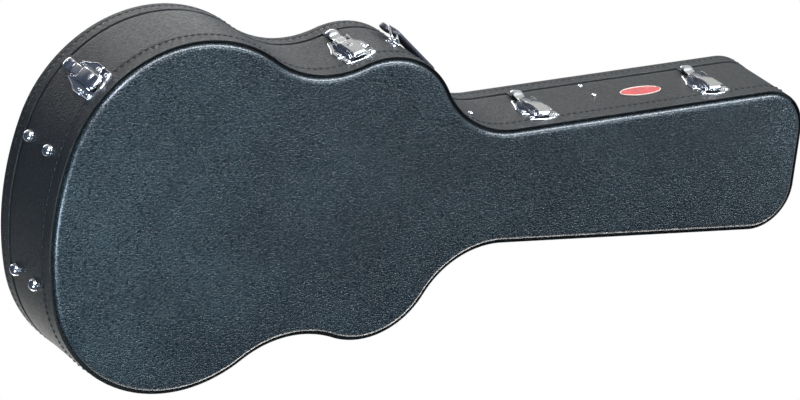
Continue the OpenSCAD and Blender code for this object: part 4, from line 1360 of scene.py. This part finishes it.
@dataclass(frozen=True)
class Latch:
    """One draw latch: rimmed plate with ears, arched hollow lever and hooded claw."""

    name: str
    spot: Spot
    drop: float = 2.6
    arch: float = 1.1
    base_low: float = 17.0
    base_l: float = 68.0
    base_t: float = 1.6
    foot_w: float = 44.0
    wing_w: float = 46.0
    foot_bow: float = 6.5
    notch: tuple[float, float, float] = (14.0, 21.5, 3.5)
    shoulders: tuple[float, float] = (41.0, 50.0)
    shoulder_in: float = 4.5
    top_half: float = 13.0
    pivot: tuple[float, float] = (6.8, 70.0)
    pin: tuple[float, float] = (6.2, 62.0)
    ear_foot: float = 16.0
    lever_half: float = 9.5
    eye_r: float = 3.2
    finger: float = 11.0
    lever_end: float = 22.8
    lever_top: float = 10.2
    roof_gap: float = 3.1
    sheet: float = 1.4
    claw_half: float = 6.8
    ear_r: float = 2.2
    tongue: tuple[float, float, float] = (9.0, 95.0, 112.0)
    rail: float = 5.0

    def base_outline(self) -> Array:
        """Plate's rounded plan: bowed foot, a notch and a wing on each side, shoulders and a narrow top.

        Returns:
            Points of the plan, along and up.
        """
        f, w, low = self.foot_w / 2, self.wing_w / 2, self.base_low
        half, up, slant = self.notch
        wing, shoulder = self.shoulders
        t = np.linspace(-1, 1, 13)
        foot = np.stack([f * t, low + self.foot_bow * t * t], -1)
        side = np.array([[f, low + up - slant], [half, low + up], [w, low + up + slant], [w, low + wing],
                         [w - self.shoulder_in, low + shoulder], [self.top_half, low + self.base_l]])
        other = side[::-1] * np.array([-1.0, 1.0])
        return smooth_outline(np.concatenate([foot, side, other]), step=0.6, reach=1.8)

    def build_base(self, chrome: Material) -> None:
        """Pressed plate with a raised rim, and its two ears with their rails.

        Args:
            chrome: Material of the plating.
        """
        mesh = Mesh()
        outline = self.base_outline()
        out = polygon_normals(outline)
        rim = np.array([[0.0, -self.drop], [0.0, 0.9], [0.3, 1.45], [0.9, 1.75], [1.6, 1.6], [2.3, 1.35]])
        mesh.tube(self.spot.lie(raised(outline[None] - rim[:, 0, None, None] * out[None], rim[:, 1])))
        foot, eye = self.base_low + self.ear_foot, self.pivot[1]
        z = np.linspace(foot, eye, 34)
        rise = self.rail + (self.pivot[0] + self.ear_r - self.rail) * smooth_step(z, eye - 9, eye - 0.5)
        a = np.linspace(QUARTER, 0, 9)[1:]
        top = np.stack([self.pivot[0] + self.ear_r * np.sin(a), eye + self.ear_r * np.cos(a)], -1)
        heel = np.array([[1.0, eye + self.ear_r + 3.0], [1.0, foot - 3.0]])
        side = np.concatenate([np.stack([rise, z], -1), top, heel])
        inner = self.lever_half + 0.5
        for low, high in ((inner, inner + self.sheet), (-inner - self.sheet, -inner)):
            mesh.tube(self.spot.stand(plate_grid(side, low, high, bevel=0.4, steps=3, both=True)))
        mesh.piece(f"{self.name}_latch_plate", Body.TUB.value, chrome, Slot.CHROME,
                   (f"{self.name}_latch_base",), sharp=35)

    def lever_sections(self) -> Array:
        """Channel sections along the lever: a rounded top that swells, falling to a round finger end.

        Returns:
            Grid of sections x points x 3: along, out and up.
        """
        length = self.pin[1] - self.roof_gap - self.lever_end
        finger = np.linspace(0, 1, 20) ** 1.7 * self.finger
        s = np.concatenate([finger, np.linspace(self.finger, length, 24)[1:]])
        end = np.sqrt(np.clip(1 - (1 - np.minimum(s / self.finger, 1)) ** 2, 0, 1))
        low = self.base_t + 0.9 + 1.2 * (1 - end)
        swell = self.arch * np.sin(math.pi * np.clip((s - 7) / (length - 7), 0, 1))
        high = low + 0.6 + (self.lever_top - low - 0.6) * end + swell
        tip = 5.5
        wide = self.lever_half - tip + np.sqrt(np.clip(tip ** 2 - (tip - np.minimum(s, tip)) ** 2, 0, None))
        r = np.minimum(2.4, (high - low) * 0.8)
        a = np.linspace(0, QUARTER, 7)
        t = self.sheet * 0.85

        def path(w: Array, h: Array, rad: Array) -> Array:
            """Half of a channel's outline from the foot of its side to the middle of its top.

            Args:
                w: Half width of each section.
                h: Height of its top.
                rad: Radius of its shoulder.

            Returns:
                Grid of sections x points x 2.
            """
            w, h, rad, foot = (v[:, None] for v in (w, h, rad, low))
            x = np.concatenate([w, w - rad * (1 - np.cos(a)), 0 * w], 1)
            y = np.concatenate([foot, h - rad * (1 - np.sin(a)), h + 0.3], 1)
            return np.stack([x, np.maximum(y, foot)], -1)

        outer = path(wide, high, r)
        inner = path(wide - t, np.maximum(high - t, low + 0.05), np.maximum(r - t, 0.05))
        mirror = np.array([-1.0, 1.0])
        ring = np.concatenate([outer, outer[:, -2::-1] * mirror, inner * mirror, inner[:, -2::-1]], 1)
        z = np.broadcast_to((self.lever_end + s)[:, None], ring.shape[:2])
        return np.concatenate([ring, z[..., None]], -1)

    def build_lever(self, chrome: Material) -> None:
        """Channel with two cheeks that reach the pivot.

        Args:
            chrome: Material of the plating.
        """
        mesh = Mesh()
        g = self.lever_sections()
        mesh.tube(self.spot.place(g[..., 0], g[..., 1], g[..., 2]))
        a = np.linspace(0, math.pi, 14)
        eye = np.array(self.pivot) + self.eye_r * ray(a)
        back = np.array([[self.base_t + 1.2, self.pin[1] + 1], [self.base_t + 1.0, self.pin[1] - 7],
                         [self.lever_top - 2.8, self.pin[1] - 7], [self.lever_top - 0.7, self.pin[1] - 4]])
        cheek = np.concatenate([eye, back])
        for side in (-1, 1):
            low, high = sorted((side * self.lever_half, side * (self.lever_half - self.sheet)))
            mesh.tube(self.spot.stand(plate_grid(cheek, low, high, bevel=0.3, steps=3, both=True)))
        mesh.piece(f"{self.name}_latch_handle", f"{self.name}_lever", chrome, Slot.CHROME,
                   (f"{self.name}_latch_lever",), sharp=35)

    def build_claw(self, chrome: Material) -> None:
        """Strap and hood: an oval section carried up from the pin, out, over and down to the lip.

        Args:
            chrome: Material of the plating.
        """
        n0, z0 = self.pin
        knots = np.array([n0, z0]) + np.array([
            [0.0, -1.0], [0.3, 3.0], [-0.4, 12.0], [-1.2, 20.5], [-0.7, 24.5], [1.2, 28.5], [2.2, 32.0],
            [1.9, 35.2], [0.5, 37.0], [-1.6, 36.9], [-3.4, 36.0]])
        t = np.linspace(0, 1, 60)
        run = path_run(knots)
        path = np.pad(follow(t * run[-1], run, knots), ((2, 2), (0, 0)), mode="edge")
        kernel = np.array([1, 2, 3, 2, 1]) / 9
        path = np.stack([np.convolve(path[:, k], kernel, "valid") for k in (0, 1)], -1)
        ahead = np.gradient(path, axis=0)
        ahead /= np.linalg.norm(ahead, axis=1, keepdims=True)
        side = np.stack([ahead[:, 1], -ahead[:, 0]], -1)
        wide = self.claw_half + 0.8 * smooth_step(t, 0.5, 0.7)
        wide = wide * (1 - 0.3 * smooth_step(t, 0.82, 1.0))
        thick = 0.7 + 0.3 * smooth_step(t, 0.6, 0.8)
        a = full_turn(32)
        cx, cy = keep_sign(np.cos(a), 0.45), keep_sign(np.sin(a), 0.7)
        across = wide[:, None] * cx
        bow = (0.4 + 1.2 * smooth_step(t, 0.55, 0.75))[:, None] * (1 - cx ** 2) - 0.4
        off = thick[:, None] * cy + bow * smooth_step(t, 0.3, 0.6)[:, None]
        flat = path[:, None] + off[..., None] * side[:, None]
        mesh = Mesh().tube(self.spot.place(across, flat[..., 0], flat[..., 1]))
        eye = self.lever_half - self.sheet - 0.5
        ring = dome_grid(np.array([[2.1, -eye], [2.2, -eye + 0.2], [2.2, eye - 0.2], [2.1, eye]]), turns=24)
        mesh.tube(self.spot.place(ring[..., 2], n0 + ring[..., 0], z0 + ring[..., 1]))
        mesh.piece(f"{self.name}_latch_hook", f"{self.name}_claw", chrome, Slot.CHROME,
                   (f"{self.name}_latch_claw",), sharp=35)

    def build_strike(self, cover: Material) -> None:
        """Strike: a thin tongue that lies on the wall, a foot in the seam and a ledge for the hook.

        Args:
            cover: Material of the walls.
        """
        wide, low, high = self.tongue
        mesh = Mesh()
        strip, ledge, foot = (0.15, 1.35), (1.0, 4.2), (-4.5, 1.2)
        for bottom, top, (back, out) in ((low, high, strip), (low, low + 2.0, ledge),
                                         (high - 0.2, high + 1.6, foot)):
            plan = round_rect(wide, top - bottom, radius=0.6, steps=3) + np.array([0.0, (bottom + top) / 2])
            mesh.tube(self.spot.lie(plate_grid(plan, back, out, bevel=0.4, steps=3)))
        mesh.piece(f"{self.name}_strike_tongue", Body.LID.value, cover, Slot.LEATHERETTE,
                   (f"{self.name}_strike",), sharp=40)

    def pivot_grids(self) -> list[Array]:
        """Two pivot rivets about the wall's run: a shank through cheek and ear, and a low domed head.

        Returns:
            One grid per rivet.
        """
        inner, outer = self.lever_half - self.sheet, self.lever_half + 0.5 + self.sheet
        head = np.array([[1.3, -0.2], [1.9, -0.1], [1.9, 0.1], [1.2, 0.75], [0.02, 1.0]])
        profile = np.concatenate([[[1.2, inner - outer]], head])
        g = dome_grid(profile + np.array([0.0, outer]), turns=20)
        return [self.spot.place(side * g[..., 2], self.pivot[0] + g[..., 0], self.pivot[1] + side * g[..., 1])
                for side in (-1, 1)]

    def rivet_spots(self) -> list[tuple[float, float]]:
        """Places of the four rivets along and up the wall.

        Returns:
            Pairs of along and up.
        """
        wing = (self.wing_w / 2 - 6.5, self.base_low + 30.0)
        foot = (self.foot_w / 2 - 5.5, self.base_low + 9.5)
        return [(s * a, c) for s in (-1, 1) for a, c in (wing, foot)]

    def build(self, wardrobe: Wardrobe) -> None:
        """Builds the latch and dresses its strike and pin.

        Args:
            wardrobe: The materials by finish.
        """
        chrome = wardrobe["chrome"]
        self.build_base(chrome)
        self.build_lever(chrome)
        self.build_claw(chrome)
        self.build_strike(wardrobe["side"])
        soften(f"{self.name}_latch_claw_pin", chrome, width=0.15)


def button_profile(d: float, h: float, steps: int = 9) -> Array:
    """Profile of a domed head: a short side, then an ellipse to the top.

    Args:
        d: Diameter of the head.
        h: Height of the head.
        steps: Points of the ellipse.

    Returns:
        Rows of radius and height.
    """
    a = np.linspace(0, QUARTER, steps)
    curve = np.stack([d / 2 * np.cos(a), 0.25 * h + 0.75 * h * np.sin(a)], -1)
    curve[-1, 0] = 0.02
    return np.concatenate([[[d / 2, -0.4 * h]], curve])


@dataclass(frozen=True)
class Fittings:
    """Latches, rivets, feet, screws, badge, hinges and lock."""

    outline: Outline
    rivet_d: float = 6.0
    foot_d: float = 16.5
    foot_h: float = 7.5
    foot_angle: float = 13.0
    foot_rows: tuple[float, float] = (50.0, 99.0)
    badge: tuple[float, float] = (60.0, 26.0)
    badge_x: float = 321.0
    badge_z: float = 60.0
    badge_rim: float = 1.3
    tail_at: float = 137.0
    waist_at: float = 109.0
    neck_at: float = 157.0
    head_at: float = 412.0
    handle_at: float = 48.0

    def arc_spot(self, centre: str, radius: float, angle: float) -> Spot:
        """Spot on one of the latch side's arcs.

        Args:
            centre: Name of the arc.
            radius: Radius of the arc.
            angle: Direction from its centre in degrees, before it is mirrored to the latch side.

        Returns:
            The spot.
        """
        c = self.outline.centres()[centre]
        a = math.radians(angle)
        return Spot(np.array([c[0] + radius * math.cos(a), -c[1] - radius * math.sin(a)]), -angle)

    def neck_spot(self, x: float) -> Spot:
        """Spot on the neck's latch side."""
        return Spot(np.array([x, -self.outline.neck_half(x)]), -90 - math.degrees(self.outline.tilt))

    def latches(self) -> list[Latch]:
        """The four latches.

        Returns:
            Tail, waist, neck and head latch.
        """
        o = self.outline
        return [Latch("tail", self.arc_spot("lower", o.lower_r, self.tail_at), drop=2.0),
                Latch("waist", self.arc_spot("upper", o.upper_r, self.waist_at), drop=2.8, arch=0.4),
                Latch("neck", self.neck_spot(self.neck_at), drop=0.6),
                Latch("head", self.neck_spot(self.head_at), drop=0.6)]

    def handle(self) -> "Handle":
        """The carry handle on the upper bout."""
        return Handle(self.arc_spot("upper", self.outline.upper_r, self.handle_at))

    def build_rivets(self, chrome: Material, latches: list[Latch]) -> None:
        """Dome heads of the latches' rivets, all in one piece.

        Args:
            chrome: Material of the plating.
            latches: The latches that the rivets hold.
        """
        g = dome_grid(button_profile(self.rivet_d, 2.1), turns=24)
        grids = [latch.spot.lie(g, a, latch.base_t - 0.2, c)
                 for latch in latches for a, c in latch.rivet_spots()]
        Mesh().many(np.stack(grids)).piece("latch_rivet_heads", Body.TUB.value, chrome, Slot.CHROME,
                                           ("latch_rivets",), sharp=40)
        Mesh().many(np.stack([g for latch in latches for g in latch.pivot_grids()])).piece(
            "latch_pivots", Body.TUB.value, chrome, Slot.CHROME, ("latch_pivot_rivets",), sharp=40)

    def build_feet(self, chrome: Material) -> None:
        """Dome feet on the tail: a thin flange under a high dome.

        Args:
            chrome: Material of the plating.
        """
        b = np.linspace(0, QUARTER, 12)
        r = self.foot_d / 2
        dome = np.stack([r * 0.95 * np.cos(b), 0.8 + (self.foot_h - 0.8) * np.sin(b)], -1)
        dome[-1, 0] = 0.02
        flange = [[r, -0.9], [r, 0.4], [r * 0.98, 0.7], [r * 0.955, 0.75]]
        g = dome_grid(np.concatenate([flange, dome]), turns=36)
        a = math.radians(self.foot_angle)
        centre = self.outline.centres()["tail"]
        grids = []
        for side in (1, -1):
            spot = Spot(centre + self.outline.tail_r * np.array([-math.cos(a), side * math.sin(a)]),
                        180 - side * self.foot_angle)
            grids += [spot.lie(g, up=z) for z in self.foot_rows]
        Mesh().many(np.stack(grids)).piece("tail_dome_feet", Body.TUB.value, chrome, Slot.CHROME,
                                           ("butt_feet",), sharp=40)

    def build_badge(self, wardrobe: Wardrobe) -> None:
        """Plain oval badge: a swelling enamel field in a rounded pale rim.

        Args:
            wardrobe: The materials by finish.
        """
        spot = self.neck_spot(self.badge_x)
        oval = ray(full_turn(96)) * np.array(self.badge) / 2
        r = self.badge_rim / 2
        b = full_turn(14)
        inset = r - r * np.cos(b)
        out = 0.75 + 0.95 * np.sin(b)
        grid = raised(oval[None] - inset[:, None, None] * polygon_normals(oval)[None], out)
        Mesh().ring(spot.lie(grid, up=self.badge_z)).piece(
            "badge_rim_ring", Body.TUB.value, wardrobe["silver"], Slot.CHROME, ("badge_rim",), sharp=50)
        share = np.concatenate([[1.0], np.linspace(0.999, 0.0, 12)])
        size = oval - self.badge_rim * polygon_normals(oval)
        flat = share[:, None, None] * size[None]
        flat[-1] = 0.002 * size
        out = 0.9 + 0.5 * (1 - share ** 2)
        out[0] = 0.15
        Mesh().tube(spot.lie(raised(flat, out), up=self.badge_z)).piece(
            "badge_field", Body.TUB.value, wardrobe["enamel"], Slot.BADGE, ("badge_plate",), sharp=50)

    def build(self, wardrobe: Wardrobe) -> None:
        """Builds every fitting.

        Args:
            wardrobe: The materials by finish.
        """
        chrome = wardrobe["chrome"]
        latches = self.latches()
        for latch in latches:
            latch.build(wardrobe)
        self.build_rivets(chrome, latches)
        self.build_feet(chrome)
        self.build_badge(wardrobe)
        places = ("lower", "upper", "head")
        pins = [f"{place}_hinge_pin" for place in places]
        for node in ("strike_screws", "partition_screws", "tub_hinge_rivets", "lid_hinge_rivets", *pins,
                     "handle_saddle_rivets", "lock_plug"):
            soften(node, chrome, width=0.15)
        for place in places:
            for side in ("tub", "lid"):
                soften(f"{place}_hinge_{side}_leaf", chrome, width=0.3)


# Handle


@dataclass(frozen=True)
class Handle:
    """Carry handle: a padded leather grip with drooping end tabs, on two wire loops in pressed saddles."""

    spot: Spot
    eye: tuple[float, float] = (-4.0, 56.0)
    lean: float = 63.0
    reach: float = 22.0
    spacing: float = 86.0
    loop_w: float = 16.0
    wire: float = 1.6
    grip_l: float = 117.0
    slide: float = -5.0
    grip_w: float = 28.0
    grip_t: float = 8.8
    tab_w: float = 20.0
    tab_l: float = 20.0
    inset: float = 6.0
    droop: float = 4.5
    crest: float = 102.0
    plate: tuple[float, float] = (9.0, 22.0)

    def bar(self) -> tuple[float, float]:
        """Place of the loops' bars, outwards and up."""
        a = math.radians(self.lean)
        return self.eye[0] + self.reach * math.cos(a), self.eye[1] + self.reach * math.sin(a)

    def build_loops(self, chrome: Material) -> None:
        """Two wire loops: a round wire along a rectangle with rounded corners, leaning to the lid.

        Args:
            chrome: Material of the plating.
        """
        path = round_rect(self.loop_w, self.reach, radius=2.6, steps=6) + np.array([0.0, self.reach / 2])
        g = tube_grid(path, self.wire, 14)
        a = math.radians(self.lean)
        mesh = Mesh()
        for x in (-self.spacing / 2, self.spacing / 2):
            out = self.eye[0] + g[..., 1] * math.cos(a) - g[..., 2] * math.sin(a)
            up = self.eye[1] + g[..., 1] * math.sin(a) + g[..., 2] * math.cos(a)
            mesh.ring(self.spot.place(g[..., 0] + x, out, up))
        mesh.piece("handle_wire_loops", Body.LOOPS.value, chrome, Slot.CHROME, ("handle_loops",), sharp=60)

    def build_saddles(self, chrome: Material) -> None:
        """Two pressed saddles: a thin crowned plate on the wall and a rolled eye over each loop's wire.

        Args:
            chrome: Material of the plating.
        """
        mesh = Mesh()
        wide, tall = self.plate
        rise = math.sqrt(self.crest ** 2 - self.spacing ** 2 / 4)
        fall, slope = self.crest - rise, self.spacing / 2 / rise
        for side in (-1, 1):
            x = side * self.spacing / 2
            g = plate_grid(round_rect(wide, tall, radius=4.0, steps=6), -1.5, 1.3, bevel=0.8, steps=4)
            mesh.tube(self.spot.place(x + g[..., 0], g[..., 2] - fall - side * slope * g[..., 0],
                                      self.eye[1] + g[..., 1]))
            a = np.linspace(-0.3 * math.pi, 1.3 * math.pi, 22)
            r = self.wire + 1.7
            eye = np.stack([self.eye[0] + r * np.sin(a), self.eye[1] + r * np.cos(a)], -1)
            foot = np.array([[-fall - 1.0, self.eye[1] - 3.4], [-fall - 1.0, self.eye[1] + 3.4]])
            roll = wide / 2 - 1.4
            g = plate_grid(np.concatenate([eye, foot]), -roll, roll, bevel=0.6, steps=3, both=True)
            mesh.tube(self.spot.stand(g, x))
        mesh.piece("handle_saddle_plates", Body.TUB.value, chrome, Slot.CHROME, ("handle_saddles",), sharp=40)

    def build_grip(self, wardrobe: Wardrobe) -> None:
        """Grip: an oval section whose width follows the plan, full in the middle, with tabs that droop.

        Args:
            wardrobe: The materials by finish.
        """
        half = self.grip_l / 2
        x = half * np.sin(np.linspace(-QUARTER, QUARTER, 110))
        far = np.abs(x)
        body = half - self.tab_l
        wide = self.tab_w / 2 + (self.grip_w - self.tab_w) / 2 * (1 - smooth_step(far, body - 3, body + 9))
        wide = wide * np.sqrt(np.clip(1 - np.clip((far - half + 6) / 6, 0, 1) ** 2, 0.0004, 1))
        thick = self.grip_t / 2 * (1 - 0.1 * smooth_step(far, body, half))
        thick = thick * np.sqrt(np.clip(1 - np.clip((far - half + 2.5) / 2.5, 0, 1) ** 2, 0.02, 1))
        sag = self.droop * smooth_step(far, body - 2, body + 13)
        a = full_turn(44)
        cy, cz = keep_sign(np.cos(a), 0.7), keep_sign(np.sin(a), 0.8)
        out0, up0 = self.bar()
        mid = up0 + self.grip_w / 2 - self.inset
        grid = self.spot.place(x[:, None] + self.slide + 0 * cy, out0 - sag[:, None] + thick[:, None] * cy,
                               mid + wide[:, None] * cz)
        Mesh().tube(grid).piece("handle_grip_leather", Body.GRIP.value, wardrobe["grip"], Slot.GRIP,
                                ("handle_grip",), sharp=60)
        self.build_welt(wardrobe["thread"], x, wide, out0 - sag, mid)

    def build_welt(self, thread: Material, x: Array, wide: Array, out: Array, mid: float) -> None:
        """Sewn welt: a thin cord along both edges of the grip, a circle carried along the edge line.

        Args:
            thread: Material of the cord.
            x: Places along the grip.
            wide: Half width of the grip at each place.
            out: Middle of the grip at each place, outwards.
            mid: Height of the grip's middle.
        """
        keep = np.abs(x) < self.grip_l / 2 - 3
        a = full_turn(8)
        mesh = Mesh()
        for side in (-1, 1):
            up = mid + side * (wide[keep] - 0.1)
            mesh.tube(self.spot.place(x[keep, None] + self.slide + 0 * a, out[keep, None] + 0.7 * np.cos(a),
                                      up[:, None] + 0.7 * np.sin(a)))
        mesh.piece("handle_grip_welt", Body.GRIP.value, thread, Slot.GRIP)

    def build(self, wardrobe: Wardrobe) -> None:
        """Builds the loops, the saddles and the grip.

        Args:
            wardrobe: The materials by finish.
        """
        self.build_loops(wardrobe["chrome"])
        self.build_saddles(wardrobe["chrome"])
        self.build_grip(wardrobe)


# Studio


@dataclass(frozen=True)
class Lamp:
    """One soft area light that looks at the case."""

    name: str
    place: tuple[float, float, float]
    size: tuple[float, float]
    power: float
    colour: Colour = (1.0, 1.0, 1.0)
    mirrored: bool = True
    scattered: bool = True

    def build(self) -> None:
        """Makes the light, turns it to the case's middle and hides it from mirrors or matt surfaces."""
        data = bpy.data.lights.new(self.name, "AREA")
        data.shape = "RECTANGLE"
        data.size, data.size_y = self.size
        data.energy = self.power
        data.color = self.colour
        lamp = bpy.data.objects.new(self.name, data)
        back = np.array(self.place)
        lamp.location = self.place
        lamp.rotation_mode = "QUATERNION"
        lamp.rotation_quaternion = Matrix(look_matrix(back / np.linalg.norm(back))).to_quaternion()
        lamp.visible_glossy = self.mirrored
        lamp.visible_diffuse = self.scattered
        bpy.context.scene.collection.objects.link(lamp)


def look_matrix(back: Array) -> list[list[float]]:
    """Rotation whose third axis is back and whose first is level.

    Args:
        back: Unit vector from the target to the viewer.

    Returns:
        Rows of the matrix.
    """
    side = np.cross([0.0, 0.0, 1.0], back)
    side = side / np.linalg.norm(side) if np.linalg.norm(side) > 1e-6 else np.array([1.0, 0.0, 0.0])
    return np.stack([side, np.cross(back, side), back], -1).tolist()


@dataclass(frozen=True)
class Studio:
    """White background, soft lights, a pale floor and the camera."""

    eye: tuple[float, float, float] = (-3.8671, -2.6595, -5.8351)
    right: tuple[float, float, float] = (0.85469, -0.11890, -0.50533)
    up: tuple[float, float, float] = (0.08464, -0.92848, 0.36162)
    ahead: tuple[float, float, float] = (0.51219, 0.35184, 0.78350)
    lens: float = 272.79
    shift: tuple[float, float] = (-0.0091, -0.0390)
    lamps: tuple[Lamp, ...] = (
        Lamp("key", (1.0, -3.1, -0.6), (5.0, 1.8), 480.0, mirrored=False),
        Lamp("key_mirror", (0.6, -3.1, -0.6), (5.0, 1.8), 24.0, scattered=False),
        Lamp("bead_strip", (1.0, -3.0, -1.1), (5.0, 0.5), 230.0, (0.84, 0.90, 1.0), scattered=False),
        Lamp("border", (-1.6, -2.1, -2.2), (0.9, 1.4), 135.0, (0.82, 0.86, 1.0), scattered=False),
        Lamp("left", (-2.7, 1.1, -2.2), (0.8, 1.6), 88.0, (0.66, 0.84, 1.0)),
        Lamp("grain", (1.1, -1.0, -1.9), (1.1, 0.45), 17.0, (0.72, 0.88, 1.0)),
        Lamp("face_fill", (-0.6, 0.02, -0.35), (0.3, 0.3), 4.6, (0.80, 0.96, 1.0), False),
        Lamp("neck_glint", (0.90, 0.14, -0.42), (0.16, 0.16), 0.75, (0.66, 0.86, 1.0)),
        Lamp("strip", (-1.9, -2.25, 2.1), (0.5, 0.25), 3.0),
        Lamp("top", (0.3, -0.4, 3.4), (2.6, 2.2), 80.0),
        Lamp("back", (1.0, 2.7, 1.6), (4.0, 1.6), 110.0),
    )

    def build_camera(self) -> None:
        """Camera below the front of the tub, looking at its big face."""
        data = bpy.data.cameras.new("camera")
        data.lens = self.lens
        data.sensor_width = 36.0
        data.shift_x, data.shift_y = self.shift
        data.clip_end = 50.0
        camera = bpy.data.objects.new("camera", data)
        columns = np.stack([self.right, self.up, -np.array(self.ahead)], -1)
        camera.matrix_world = Matrix.Translation(self.eye) @ Matrix(columns.tolist()).to_4x4()
        bpy.context.scene.collection.objects.link(camera)
        bpy.context.scene.camera = camera

    def build_world(self) -> None:
        """White for the camera. In reflections pale behind the case, dark at left and level, dim in front."""
        world = bpy.data.worlds.new("studio")
        world.use_nodes = True
        bpy.context.scene.world = world
        t = NodeTree(world.node_tree)
        way = t.add("ShaderNodeSeparateXYZ", {0: t.add("ShaderNodeTexCoord").outputs["Generated"]})
        x, y, z = (way.outputs[axis] for axis in "XYZ")
        behind = t.ramp(z, -0.30, 0.35)
        right = t.ramp(x, -0.45, 0.15)
        level = t.math("MULTIPLY", t.ramp(y, -0.36, -0.18), t.ramp(y, 0.42, 0.22))
        lit = t.math("MULTIPLY", right, t.math("SUBTRACT", 1.0, t.math("MULTIPLY", level, 0.9)))
        lit = t.math("MULTIPLY", lit, t.ramp(y, 0.40, 0.60, (1.0, 1.8)))
        rear = t.add("ShaderNodeMix", {0: lit}, data_type="RGBA", clamp_factor=False)
        rear.inputs[6].default_value = (0.05, 0.07, 0.115, 1)
        rear.inputs[7].default_value = (0.66, 0.66, 0.64, 1)
        around = t.add("ShaderNodeMix", {0: behind, 7: rear.outputs[2]}, data_type="RGBA")
        around.inputs[6].default_value = (0.10, 0.12, 0.16, 1)
        sky = t.add("ShaderNodeBackground", {"Color": around.outputs[2]}, in_Strength=1.0)
        white = t.add("ShaderNodeBackground", in_Color=(1, 1, 1, 1))
        seen = t.add("ShaderNodeLightPath").outputs["Is Camera Ray"]
        mix = t.add("ShaderNodeMixShader", {0: seen, 1: sky.outputs[0], 2: white.outputs[0]})
        t.link(mix.outputs[0], world.node_tree.nodes["World Output"].inputs["Surface"])

    def build_floor(self) -> None:
        """Pale floor that is seen from above only and lets light through, so the base is lit as well."""
        data = bpy.data.meshes.new("floor")
        s, z = 30.0, -0.0006
        data.from_pydata([(-s, -s, z), (s, -s, z), (s, s, z), (-s, s, z)], [], [(0, 1, 2, 3)])
        m = bpy.data.materials.new("pale_floor")
        m.use_nodes = True
        t = NodeTree(m.node_tree)
        t.tree.nodes.remove(t.tree.nodes["Principled BSDF"])
        seen = t.math("MULTIPLY", t.add("ShaderNodeLightPath").outputs["Is Camera Ray"],
                      t.math("SUBTRACT", 1.0, t.add("ShaderNodeNewGeometry").outputs["Backfacing"]))
        clear = t.add("ShaderNodeBsdfTransparent")
        pale = t.add("ShaderNodeBsdfDiffuse", in_Color=(0.82, 0.82, 0.81, 1))
        mix = t.add("ShaderNodeMixShader", {0: seen, 1: clear.outputs[0], 2: pale.outputs[0]})
        t.link(mix.outputs[0], t.tree.nodes["Material Output"].inputs["Surface"])
        data.materials.append(m)
        floor = bpy.data.objects.new("floor", data)
        bpy.context.scene.collection.objects.link(floor)

    def build(self) -> None:
        """Builds the studio."""
        for item in list(bpy.data.objects):
            if item.type in {"LIGHT", "CAMERA"}:
                bpy.data.objects.remove(item)
        self.build_camera()
        self.build_world()
        self.build_floor()
        for lamp in self.lamps:
            lamp.build()
        bpy.context.scene.view_settings.view_transform = "Standard"


def main() -> None:
    """Builds the studio and the case's pieces in order."""
    logging.basicConfig(level=logging.INFO, format="%(name)s: %(message)s")
    Studio().build()
    wardrobe = Wardrobe()
    outline = Outline()
    loop = Loop(outline)
    Shell(loop).build(wardrobe)
    Lining(loop).build(wardrobe)
    fittings = Fittings(outline)
    fittings.build(wardrobe)
    fittings.handle().build(wardrobe)


if __name__ == "__main__":
    main()
